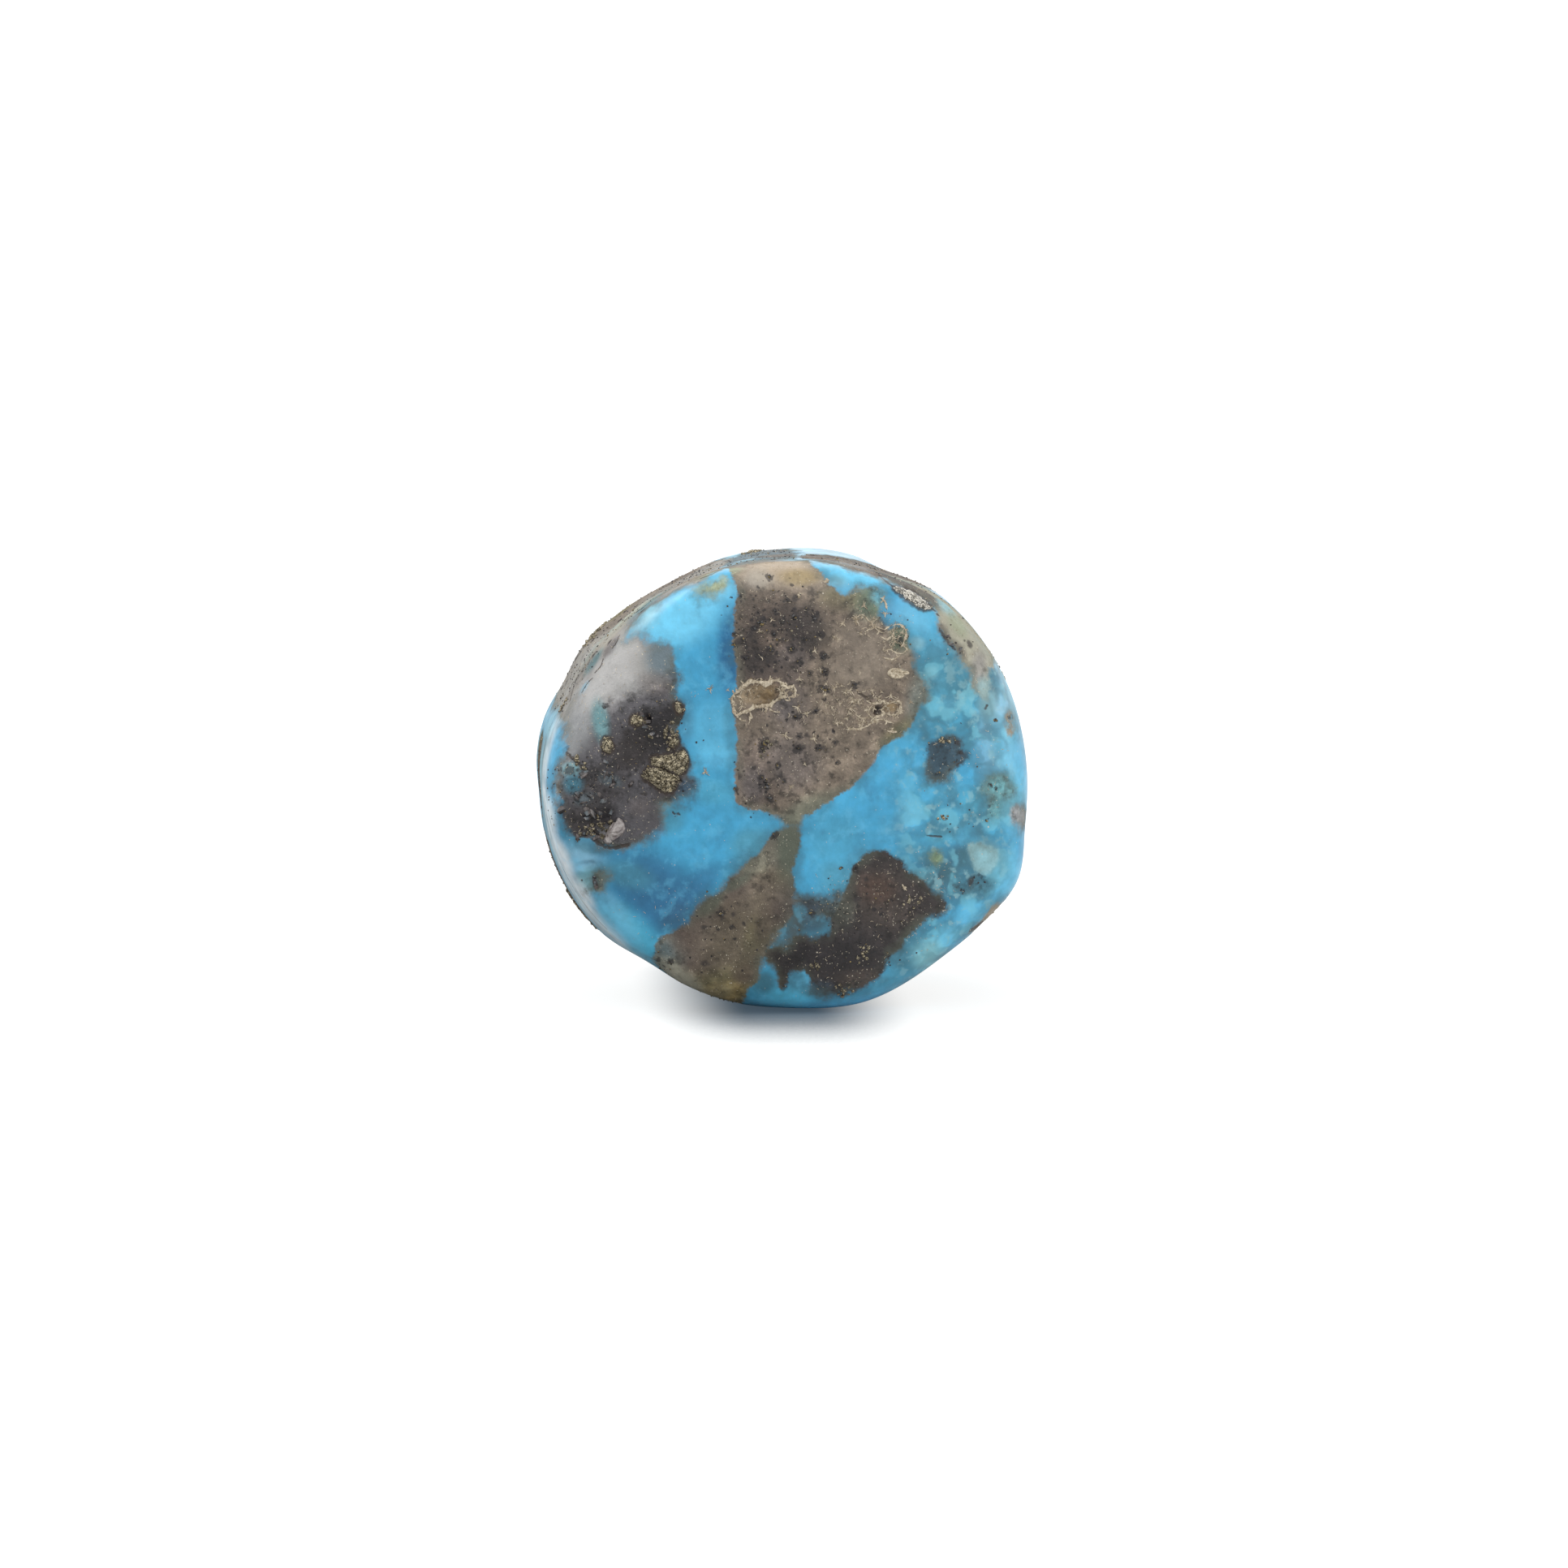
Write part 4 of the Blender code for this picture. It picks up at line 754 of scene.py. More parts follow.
# --- Form -----------------------------------------------------------------------------------------
def clock_curve(values):
    """A smooth closed curve through one value for each station, as a function of clock angle."""
    angles = np.array([s.clock for s in OUTLINE], float)
    values = np.array(values, float)
    knots = np.concatenate([angles[-2:] - 360, angles, angles[:2] + 360])
    heights = np.concatenate([values[-2:], values, values[:2]])

    def at(clock):
        clock = np.mod(clock, 360.0)
        i = np.clip(np.searchsorted(knots, clock, side="right") - 1, 1, len(knots) - 3)
        span = knots[i + 1] - knots[i]
        t = (clock - knots[i]) / span
        leave = (heights[i + 1] - heights[i - 1]) / (knots[i + 1] - knots[i - 1]) * span
        arrive = (heights[i + 2] - heights[i]) / (knots[i + 2] - knots[i]) * span
        return (
            (2 * t**3 - 3 * t**2 + 1) * heights[i]
            + (t**3 - 2 * t**2 + t) * leave
            + (3 * t**2 - 2 * t**3) * heights[i + 1]
            + (t**3 - t**2) * arrive
        )

    return at


RIM = clock_curve([s.rim for s in OUTLINE])
GIRTH = clock_curve([s.girth for s in OUTLINE])
SHOULDER = clock_curve([s.shoulder for s in OUTLINE])


def barrel(directions):
    """Where rays from the barrel's middle meet the smooth stone, in mm about that middle."""
    clock = np.degrees(np.arctan2(directions[:, 2], directions[:, 0]))
    outward = np.hypot(directions[:, 0], directions[:, 2])
    along = directions[:, 1]
    in_front = along < 0
    depth = np.where(in_front, FACE_DEPTH, BACK_DEPTH * (1 + directions @ REAR_LEAN))
    power = np.where(in_front, SHOULDER(clock), REAR_ROUNDNESS)
    rim, girth = RIM(clock), GIRTH(clock)
    reach = np.full(len(directions), FACE_DEPTH)
    for _ in range(RAY_STEPS):
        y = reach * along - GIRTH_SETBACK
        ahead = y < 0
        span = np.where(ahead, FACE_DEPTH + GIRTH_SETBACK, BACK_DEPTH - GIRTH_SETBACK)
        end = np.where(ahead, rim, TAIL_SHARE * girth)
        side = girth - (girth - end) * (y / span) ** 2
        size = (reach * np.abs(along) / depth) ** power + (reach * outward / side) ** power
        reach = reach / size ** (1 / power)
    points = directions * reach[:, None]
    forward = np.clip(-points[:, 1] / FACE_DEPTH, 0, 1)
    spread = (points[:, 0] ** 2 + points[:, 2] ** 2) / DOME_RADIUS**2
    points[:, 1] -= DOME_HEIGHT * forward * (1 - spread)
    return points


def hollow_shares(points):
    """Each hollow with how far the points lie from its middle."""
    for hollow in HOLLOWS:
        share = share_from(hollow, points[:, [0, 2]])
        yield hollow, np.where(points[:, 1] < 0, share, np.inf)


def pit_middles():
    """The middles of the pits, spread evenly over the side and rear along a spiral."""
    turns = np.arange(PIT_COUNT) * GOLDEN_ANGLE
    steps = (np.arange(PIT_COUNT) + 0.5) / PIT_COUNT
    along = PIT_FURTHEST_FORWARD + (1 - PIT_FURTHEST_FORWARD) * steps
    outward = np.sqrt(1 - along**2)
    return barrel(np.stack([outward * np.cos(turns), along, outward * np.sin(turns)], axis=1))


def broken_depth(points):
    """How deep hollows and pits go at each point, and how broken their floor is there."""
    depth, broken = np.zeros(len(points)), np.zeros(len(points))
    for hollow, share in hollow_shares(points):
        bump = soft_bump(share)
        depth += hollow.depth * bump
        broken = np.maximum(broken, bump)
    for i, middle in enumerate(pit_middles()):
        pit = PIT_KINDS[i % len(PIT_KINDS)]
        depth += pit.depth * soft_bump(np.linalg.norm(points - middle, axis=1) / pit.radius)
    return depth, broken


# --- The chart ------------------------------------------------------------------------------------
def sight():
    """Right, up and towards the eye, for the sight that the chart is drawn along."""
    azimuth, elevation = math.radians(SIGHT_AZIMUTH), math.radians(SIGHT_ELEVATION)
    right = np.array([math.cos(azimuth), math.sin(azimuth), 0.0])
    level = np.array([math.sin(azimuth), -math.cos(azimuth), 0.0])
    towards = level * math.cos(elevation) + np.array([0, 0, math.sin(elevation)])
    return right, np.cross(towards, right), towards


FACE_MIDDLE = np.array([0.0, -FACE_DEPTH - DOME_HEIGHT, 0.0])


def chart(points):
    """Chart places, in mm across and above, of points given in mm about the barrel's middle."""
    right, up, towards = sight()
    offset = points - FACE_MIDDLE
    enlarge = SIGHT_DISTANCE / (SIGHT_DISTANCE - offset @ towards)
    flat = np.stack([offset @ right * enlarge, offset @ up * enlarge], axis=1)
    behind = np.clip(points[:, 1] - WRAP_FROM, 0, None)
    outward = points[:, [0, 2]] / np.hypot(points[:, 0], points[:, 2])[:, None].clip(1e-6)
    return flat + outward * behind[:, None]


def side_places(points):
    """Clock angle, as mm round the side, and depth of each point."""
    clock = np.mod(np.degrees(np.arctan2(points[:, 2], points[:, 0])), 360)
    return np.stack([np.radians(clock) * SIDE_RADIUS, points[:, 1]], axis=1)


def side_route(route):
    """A route of clock angles and depths, in mm round the side and mm of depth."""
    return [(math.radians(clock) * SIDE_RADIUS, y) for clock, y in route]


def side_spots(spots):
    """Ellipses placed by clock angle and depth, in mm round the side and mm of depth."""
    return [spot._replace(across=math.radians(spot.across) * SIDE_RADIUS) for spot in spots]


def crack_field(points, places):
    """How dark cracks make each point."""
    side = side_places(points)
    crack = np.zeros(len(points))
    layouts = [(places, half, route) for half, route in FACE_CRACKS]
    layouts += [(side, half, side_route(route)) for half, route in SIDE_CRACKS]
    for where, half, route in layouts:
        near, _ = distance_to(where, smooth_route(route, False), False)
        crack = np.maximum(crack, soft_bump(near / half))
    return crack


def mixed(colour, swatch, weight):
    """The colours with this much of a swatch mixed into each."""
    return colour + weight[:, None] * (linear(swatch) - colour)


def with_spots(tint, places, spots):
    """The tints with soft ellipses of other swatches laid over them, one after the other."""
    for spot in spots:
        tint = mixed(tint, spot.swatch, spot.strength * plateau(share_from(spot, places)))
    return tint


def with_waves(tint, points, kinds, strength):
    """The tints with swatches that come and go over the points in waves."""
    for wave in kinds:
        there = rise(waves(points, wave.span, wave.shift), wave.low, wave.high)
        tint = mixed(tint, wave.swatch, strength * there)
    return tint


def space_matrix(points):
    """Depth inside patches of matrix that follow a pattern in space, for the side and rear."""
    push = np.stack([waves(points, REAR_BEND_SPAN, shift) for shift in (3.0, 7.0, 11.0)], axis=1)
    bent = points + REAR_BEND * push
    patches = waves(bent, REAR_PATCH_SPAN, 20.0) - 0.10
    patches += REAR_RAGGED * waves(bent, REAR_RAGGED_SPAN, 31.0)
    veins = 0.10 - np.abs(waves(bent, REAR_VEIN_SPAN, 43.0) + 0.05)
    return np.maximum(REAR_PATCH_STEEPNESS * patches, REAR_VEIN_STEEPNESS * veins)


def matrix_fields(points, places):
    """Depth inside the matrix, softness of its edge, and the matrix's tint."""
    depth = np.full(len(points), -FAR)
    edge = np.full(len(points), PLAIN_EDGE)
    tint = np.tile(linear("grey_brown"), (len(points), 1))
    side = side_places(points)
    layouts = [(places, patch) for patch in FACE_PATCHES]
    layouts += [(side, patch._replace(outline=side_route(patch.outline))) for patch in SIDE_PATCHES]
    for where, patch in layouts:
        inside = depth_inside(where, patch.outline)
        nearest = inside > depth
        depth = np.where(nearest, inside, depth)
        edge = np.where(nearest, patch.edge, edge)
        tint = np.where(nearest[:, None], linear(patch.swatch), tint)
    for spot in EDGE_SPOTS:
        edge += plateau(share_from(spot, places)) * (spot.amount - edge)
    tint = with_spots(tint, places, MATRIX_TINTS)
    tint = with_spots(tint, side, side_spots(SIDE_MATRIX_TINTS))

    lengthwise = side[:, 0] / STREAK_LENGTH
    widthwise = side[:, 1] / STREAK_WIDTH + STREAK_SWAY * waves(points, STREAK_SWAY_SPAN, 99.0)
    along = np.column_stack([lengthwise, widthwise, np.zeros(len(side))])
    streaky = rise(points[:, 1], WRAP_FROM - 0.9, WRAP_FROM + 0.3) * rise(points[:, 1], 0, -2.5)
    tint = with_waves(tint, along, STREAKS, STREAK_STRENGTH * streaky)

    to_space = rise(points[:, 1], SPACE_FROM, SPACE_FULL)
    depth += to_space * (np.clip(space_matrix(points), -FAR, FAR) - depth)
    edge += to_space * (REAR_EDGE - edge)
    sideways = rise(points[:, 1], WRAP_FROM + 3, SPACE_FROM)
    return depth, edge, with_waves(tint, points, MATRIX_WAVES, MATRIX_WAVE_STRENGTH * sideways)


def blue_tint(points, places):
    """The blue's tint, laid out on the face and following waves in space on the side."""
    tint = np.tile(linear("mid"), (len(points), 1))
    tint = with_spots(tint, places, BLUE_TINTS)
    tint = with_spots(tint, side_places(points), side_spots(SIDE_BLUE_TINTS))
    sideways = rise(points[:, 1], WRAP_FROM, SPACE_FROM)
    return with_waves(tint, points, BLUE_WAVES, BLUE_WAVE_STRENGTH * sideways)


def spread_over(places, spreads):
    """How thickly something lies at each chart place."""
    amount = np.zeros(len(places))
    for spread in spreads:
        amount = np.maximum(amount, spread.amount * plateau(share_from(spread, places)))
    return amount


# --- The stone's mesh -----------------------------------------------------------------------------
def halve_edges(mesh, chosen):
    """Halves the chosen edges, and puts the new vertices back on the unit sphere."""
    bmesh.ops.subdivide_edges(mesh, edges=chosen, cuts=1)
    bmesh.ops.triangulate(mesh, faces=[f for f in mesh.faces if len(f.verts) > 3])
    for vertex in mesh.verts:
        vertex.co.normalize()


def directions_of(mesh):
    """Unit directions of a mesh's vertices, as an array."""
    return np.array([v.co for v in mesh.verts])


def make_shell():
    """A closed sphere of unit directions, finer over the face and finest at its small hollows."""
    mesh = bmesh.new()
    bmesh.ops.create_icosphere(mesh, subdivisions=SHELL_SUBDIVISIONS, radius=1)
    halve_edges(mesh, [e for e in mesh.edges if max(v.co.y for v in e.verts) < FACE_FROM])
    points = barrel(directions_of(mesh))
    small = np.zeros(len(points), bool)
    for hollow, share in hollow_shares(points):
        if max(hollow.length, hollow.width) < FINE_BELOW:
            small |= share < FINE_REACH
    mesh.verts.index_update()
    halve_edges(mesh, [e for e in mesh.edges if all(small[v.index] for v in e.verts)])
    return mesh


def raised_skin(directions, smooth, places, matrix_depth):
    """The smooth stone's points with lumps, hollows, the crevice and the sunk matrix added."""
    rearward = soft_bump(1 - np.clip(directions[:, 1] + REAR_LUMP_START, 0, 1))
    lump = FACE_LUMP + (REAR_LUMP - FACE_LUMP) * rearward
    depth, broken = broken_depth(smooth)
    rough = waves(smooth, ROUGH_SPAN) + 0.5 * waves(smooth, ROUGH_SPAN / 2, 9.0)
    height = lump * waves(smooth, LUMP_SPAN) - depth + ROUGH_FLOOR * broken * rough
    crevice, _ = distance_to(places, smooth_route(CREVICE, False), False)
    in_front = smooth[:, 1] < 0
    height -= CREVICE_DEPTH * np.exp(-((crevice / CREVICE_WIDTH) ** 2)) * in_front
    height -= MATRIX_SETBACK * rise(matrix_depth, -0.03, 0.07)
    return smooth + directions * height[:, None]


def settle(points):
    """Barrel points put in the row's frame: flat underneath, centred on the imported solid."""
    placed = points + np.array([0, 0, AXIS_HEIGHT])
    z = placed[:, 2]
    z = 0.5 * (z + np.sqrt(z * z + FLAT_ROUNDING**2))
    placed[:, 2] = z - z.min()
    lowest, highest = np.array(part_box(NODE)) / MM
    aside = (lowest + highest) / 2 - (placed.min(0) + placed.max(0)) / 2
    aside[2] = 0
    return placed + aside, aside


def set_field(mesh, name, values):
    """Stores one number or one colour for each vertex under a name that materials read."""
    if values.ndim == 1:
        data = mesh.attributes.new(name, "FLOAT", "POINT").data
        data.foreach_set("value", values.astype(np.float32))
        return
    data = mesh.attributes.new(name, "FLOAT_COLOR", "POINT").data
    rgba = np.ones((len(values), 4), np.float32)
    rgba[:, :3] = values
    data.foreach_set("color", rgba.ravel())


def finished(name, mesh, slot, *replaced):
    """Puts a finished mesh on the stage of the row's frame as a piece of the stone."""
    piece = bpy.data.objects.new(name, mesh)
    bpy.context.scene.collection.objects.link(piece)
    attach(piece, "root")
    if replaced:
        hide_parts(*replaced)


def as_data(name, mesh):
    """The mesh under construction as mesh data, with its faces turned outwards."""
    bmesh.ops.recalc_face_normals(mesh, faces=mesh.faces)
    data = bpy.data.meshes.new(name)
    mesh.to_mesh(data)
    mesh.free()
    return data


def laid_piece(name, mesh, material, slot):
    """Turns a mesh under construction into a piece of the stone."""
    data = as_data(name, mesh)
    data.materials.append(material)
    finished(name, data, slot)


class Skin:
    """Finds points on the stone's skin, or just off it, by their place on the chart."""

    def __init__(self, mesh, places, points):
        count = len(mesh.vertices)
        spots, normals = np.empty(count * 3), np.empty(count * 3)
        mesh.vertices.foreach_get("co", spots)
        mesh.vertex_normals.foreach_get("vector", normals)
        self.spots, self.normals = spots.reshape(-1, 3), normals.reshape(-1, 3)
        chosen = np.flatnonzero(points[:, 1] < WRAP_FROM + 1)
        self.tree = kdtree.KDTree(len(chosen))
        for i in chosen.tolist():
            self.tree.insert((places[i, 0], places[i, 1], 0), i)
        self.tree.balance()

    def point(self, across, above, lift=0.0):
        """The point, in metres, that lies this many mm off the skin at a chart place."""
        near = self.tree.find_n((across, above, 0), 3)
        weights = np.array([1 / (distance + 1e-3) for _, _, distance in near])
        weights /= weights.sum()
        index = [i for _, i, _ in near]
        normal = Vector(weights @ self.normals[index]).normalized()
        return Vector(weights @ self.spots[index]) + normal * lift * MM


def stone_fields(smooth, places, depth, edge, tint):
    """What each vertex holds for the stone's material and for the things scattered over it."""
    on_face = rise(-smooth[:, 1], ON_FACE_FROM, ON_FACE_FULL)
    elsewhere = 1 - on_face
    inside = rise(depth, -0.1, 0.3)
    pyrite = np.full(len(smooth), -FAR)
    for outline in (*PYRITE_OUTLINES, RIM_PLATE_OUTLINE):
        pyrite = np.maximum(pyrite, depth_inside(places, outline))
    halo = np.zeros(len(smooth))
    for across, above, radius in SPECKS:
        place = Spread(across, above, HALO_REACH * radius, HALO_REACH * radius, 0, 1)
        halo = np.maximum(halo, np.clip(1 - share_from(place, places), 0, 1))
    fibres = spread_over(places, FIBRES)
    for _, route in CRUST_ROUTES:
        near, _ = distance_to(places, smooth_route(route, False), False)
        fibres = np.maximum(fibres, 0.3 * soft_bump(near / CRUST_FRINGE))
    right_zone = rise(places[:, 0], 3.5, 6.0) * rise(places[:, 0], 9.9, 8.8)
    mottle = right_zone * rise(places[:, 1], 6, 4)
    crystals = spread_over(places, PYRITE_GRAINS)
    clusters = rise(waves(smooth, CLUSTER_SPAN, 91.0), 0.38, 0.6)
    dust = np.maximum(0.10 + 0.45 * inside, spread_over(places, DUST) * on_face)
    slivers = 0.9 * np.maximum(fibres, 0.3 * dust) - 0.03
    worn = rise(smooth[:, 1], WRAP_FROM - 1.2, WRAP_FROM + 0.2)
    return {
        "matrix": depth,
        "edge": edge,
        "matrix_tint": tint,
        "blue_tint": blue_tint(smooth, places),
        "pyrite": pyrite * on_face - FAR * elsewhere,
        "speck_halo": halo * on_face,
        "crack": crack_field(smooth, places),
        "mottle": mottle * on_face + 0.7 * elsewhere,
        "grit": spread_over(places, GRIT) * on_face + 0.5 * elsewhere * inside,
        "dust": dust,
        "crystals": crystals * on_face + 0.8 * elsewhere * clusters * inside,
        "fibres": fibres * on_face,
        "slivers": slivers * on_face + 0.06 * elsewhere * inside,
        "shards": spread_over(places, SHARDS) * on_face,
        "worn": worn,
        "calm": np.maximum(spread_over(places, CALM) * on_face, 0.7 * worn),
    }


Stone = namedtuple("Stone", "mesh field_names skin aside")


def make_stone():
    """The stone itself, and what its smaller pieces need to lie on it."""
    shell = make_shell()
    directions = directions_of(shell)
    smooth = barrel(directions)
    places = chart(smooth)
    depth, edge, tint = matrix_fields(smooth, places)
    placed, aside = settle(raised_skin(directions, smooth, places, depth))

    mesh = as_data("turquoise_stone", shell)
    mesh.vertices.foreach_set("co", (placed * MM).ravel())
    mesh.polygons.foreach_set("use_smooth", np.ones(len(mesh.polygons), bool))
    mesh.update()
    fields = stone_fields(smooth, places, depth, edge, tint)
    for name, values in fields.items():
        set_field(mesh, name, values)
    mesh.materials.append(stone_material())
    finished("turquoise_stone", mesh, "turquoise", NODE)
    return Stone(mesh, tuple(fields), Skin(mesh, places, smooth), aside)


# --- Materials ------------------------------------------------------------------------------------
class Nodes:
    """A node tree that is filled with short calls."""

    def __init__(self, tree):
        self.tree = tree
        tree.nodes.clear()

    def add(self, kind, inputs=None, **settings):
        """A node with these settings, and with its inputs linked or set."""
        node = self.tree.nodes.new(kind)
        for name, value in settings.items():
            setattr(node, name, value)
        for name, value in (inputs or {}).items():
            self.put(node.inputs[name], value)
        return node

    def put(self, socket, value):
        """Links a socket to an output, or gives it a value."""
        if isinstance(value, bpy.types.NodeSocket):
            self.tree.links.new(value, socket)
        elif socket.type == "RGBA":
            socket.default_value = (*value, 1.0)
        else:
            socket.default_value = value


class Shader(Nodes):
    """One material's nodes, with lengths in millimetres. Each method returns an output socket."""

    def __init__(self, name):
        self.material = bpy.data.materials.new(name)
        self.material.use_nodes = True
        super().__init__(self.material.node_tree)
        place = self.add("ShaderNodeTexCoord").outputs["Object"]
        self.place = self.vector("SCALE", place, Scale=1 / MM)

    def field(self, name):
        """One of the stone's numbers."""
        return self.add("ShaderNodeAttribute", attribute_name=name).outputs["Fac"]

    def colour_field(self, name):
        """One of the stone's tints."""
        return self.add("ShaderNodeAttribute", attribute_name=name).outputs["Color"]

    def vector(self, operation, first, second=None, **inputs):
        """A vector operation on one or two vectors."""
        node = self.add("ShaderNodeVectorMath", inputs, operation=operation)
        self.put(node.inputs[0], first)
        if second is not None:
            self.put(node.inputs[1], second)
        return node.outputs[0]

    def math(self, operation, first, second=0.0):
        """An operation on one or two numbers."""
        return self.add("ShaderNodeMath", {0: first, 1: second}, operation=operation).outputs[0]

    def times(self, first, *others):
        """All the numbers multiplied."""
        for other in others:
            first = self.math("MULTIPLY", first, other)
        return first

    def plus(self, first, *others):
        """All the numbers added up."""
        for other in others:
            first = self.math("ADD", first, other)
        return first

    def rest(self, share):
        """What is left of 1 when the share is taken away."""
        return self.math("SUBTRACT", 1, share)

    def noise(self, span, detail=2.0, roughness=0.5, place=None):
        """Noise about 0.5, whose largest swells are one span apart."""
        inputs = {"Vector": place or self.place, "Scale": 1 / span, "Detail": detail,
                  "Roughness": roughness}
        return self.add("ShaderNodeTexNoise", inputs).outputs["Fac"]

    def swing(self, reach, span, detail=2.0, roughness=0.5):
        """Noise about 0, that swings by about half the reach either way."""
        return self.times(self.plus(self.noise(span, detail, roughness), -0.5), reach)

    def clumps(self, span, low, high, detail=2.0, roughness=0.5, place=None):
        """Noise drawn together into clumps: 0 where it is below low, and 1 above high."""
        return self.rise(self.noise(span, detail, roughness, place), low, high)

    def bent(self, span, reach):
        """The place, pushed about by noise."""
        inputs = {"Vector": self.place, "Scale": 1 / span, "Detail": 2.0}
        push = self.add("ShaderNodeTexNoise", inputs).outputs["Color"]
        push = self.vector("SUBTRACT", push, (0.5, 0.5, 0.5))
        return self.vector("ADD", self.place, self.vector("SCALE", push, Scale=reach))

    def rise(self, value, low, high):
        """0 up to low, 1 from high. It falls where low is above high."""
        inputs = {"Value": value, "From Min": low, "From Max": high}
        return self.add("ShaderNodeMapRange", inputs, interpolation_type="SMOOTHSTEP").outputs[0]

    def mix(self, share, first, second):
        """The first colour with this share of the second."""
        inputs = {0: share, 6: first, 7: second}
        return self.add("ShaderNodeMix", inputs, data_type="RGBA").outputs[2]

    def tinted(self, colour, swatch, *shares):
        """The colour with a swatch mixed in, by the product of the shares."""
        return self.mix(self.times(*shares), colour, rgb(swatch))

    def shaded(self, colour, factor):
        """The colour made lighter or darker by a factor."""
        return self.vector("SCALE", colour, Scale=factor)

    def parts(self, colour):
        """The red, green and blue of a colour."""
        return self.add("ShaderNodeSeparateColor", {"Color": colour}).outputs

    def cells(self, span, feature="F1", place=None, **inputs):
        """Cells one span apart, with a distance from their middles and a colour each."""
        inputs = {"Vector": place or self.place, "Scale": 1 / span, **inputs}
        return self.add("ShaderNodeTexVoronoi", inputs, feature=feature).outputs

    def specks(self, span, radius, share):
        """Round specks one span apart, of which this share is there."""
        cells = self.cells(span, place=self.bent(span, 0.5 * span))
        chances = self.parts(cells["Color"])
        there = self.math("LESS_THAN", chances[0], share)
        size = self.plus(self.times(chances[1], 0.6), 0.5)
        edge = self.times(size, radius / span)
        distance = self.plus(cells["Distance"], self.swing(0.35, 0.5 * span, 3))
        return self.times(self.rise(distance, edge, self.times(edge, 0.45)), there)

    def surface(self, colour, roughness, height=None, **inputs):
        """The finished surface, with height in mm as its bump."""
        inputs = {name.replace("_", " "): value for name, value in inputs.items()}
        inputs.update({"Base Color": colour, "Roughness": roughness})
        if height is not None:
            bump = self.add("ShaderNodeBump", {"Height": height, "Distance": MM, "Strength": 1.0})
            inputs["Normal"] = bump.outputs[0]
        skin = self.add("ShaderNodeBsdfPrincipled", inputs)
        self.add("ShaderNodeOutputMaterial", {"Surface": skin.outputs[0]})
        return self.material


def rgb(swatch):
    """A swatch as a socket's colour."""
    return tuple(linear(swatch).tolist())


# Ore colours: the bright metal, then a near-black used for painted shade in its grooves and for
# tarnish.
BRASS, BRASS_SHADE_AND_TARNISH = (0.42, 0.365, 0.255), (0.03, 0.024, 0.018)
SILVERY, SILVERY_SHADE_AND_TARNISH = (0.66, 0.63, 0.56), (0.10, 0.095, 0.085)
CRUST_DARK, CRUST_PALE = (0.30, 0.24, 0.165), (0.64, 0.56, 0.43)
QUARTZ_SMOKE, QUARTZ_VEIL = (0.16, 0.135, 0.13), (0.36, 0.33, 0.32)


def blue_colour(s, depth):
    """The blue: its laid-out tint with clouds and shades, gravelly where it is mottled."""
    mottle = s.field("mottle")
    blue = s.colour_field("blue_tint")
    blue = s.shaded(blue, s.plus(1, s.swing(0.6, 2.0, 4), s.swing(0.5, 0.5, 5, 0.6)))
    clouds = s.clumps(0.75, 0.50, 0.68, 5, 0.62, s.bent(1.4, 0.8))
    blue = s.tinted(blue, "sky", clouds, 0.30)
    shades = s.clumps(1.1, 0.52, 0.70, 5, 0.6, s.bent(1.0, 0.6))
    blue = s.tinted(blue, "dull_deep", shades, 0.26)

    gravel = s.cells(0.85, "SMOOTH_F1", s.bent(0.6, 0.8), Smoothness=0.55)
    blue = s.tinted(blue, "dark_teal", s.rise(gravel["Distance"], 0.34, 0.64), mottle, 0.5)
    blue = s.tinted(blue, "pale", s.clumps(0.45, 0.54, 0.68, 3), mottle, 0.6)
    blue = s.tinted(blue, "dull_teal", s.clumps(1.3, 0.56, 0.70, 4), mottle, 0.45)
    tone = s.parts(gravel["Color"])[0]
    blue = s.tinted(blue, "pale_cyan", s.rise(tone, 0.5, 0.85), mottle, 0.5)
    blue = s.tinted(blue, "dark_teal", s.rise(tone, 0.42, 0.15), mottle, 0.32)

    fringe = s.times(s.rise(depth, -0.60, -0.02), s.clumps(1.1, 0.35, 0.62, 3))
    return s.tinted(blue, "dark_teal", fringe, 0.5)


def rock_colour(s, depth, grit):
    """The matrix: its laid-out tint with clouds and dark grit, liveliest where it is dark."""
    rock = s.colour_field("matrix_tint")
    grey = s.add("ShaderNodeRGBToBW", {"Color": rock}).outputs[0]
    lively = s.plus(0.3, s.times(s.rise(grey, 0.42, 0.2), 0.7))
    lively = s.times(lively, s.rest(s.field("calm")))
    shade = s.plus(s.swing(1.5, 0.9, 5, 0.62), s.swing(1.1, 0.33, 4, 0.6), s.swing(0.75, 0.12, 3))
    rock = s.shaded(rock, s.math("MAXIMUM", s.plus(1, s.times(shade, lively)), 0.2))
    light_clouds = s.times(s.clumps(0.5, 0.50, 0.66, 4, 0.6), lively, 0.42)
    dark_clouds = s.times(s.clumps(0.38, 0.52, 0.68, 4, 0.62), lively, 0.60)
    rock = s.shaded(rock, s.times(s.plus(1, light_clouds), s.rest(dark_clouds)))

    rim = s.times(s.rise(depth, 0.5, 0.03), s.clumps(1.6, 0.34, 0.6, 3))
    rock = s.tinted(rock, "moss", rim, 0.55)
    halo = s.rise(s.plus(s.field("speck_halo"), s.swing(1.6, 0.17, 4, 0.6)), 0.36, 0.62)
    rock = s.tinted(rock, "black", halo, 0.72)
    rock = s.tinted(rock, "dark", s.specks(0.62, 0.27, grit), 0.8)
    return s.tinted(rock, "black", s.specks(0.34, 0.13, s.times(grit, 0.8)), 0.8)


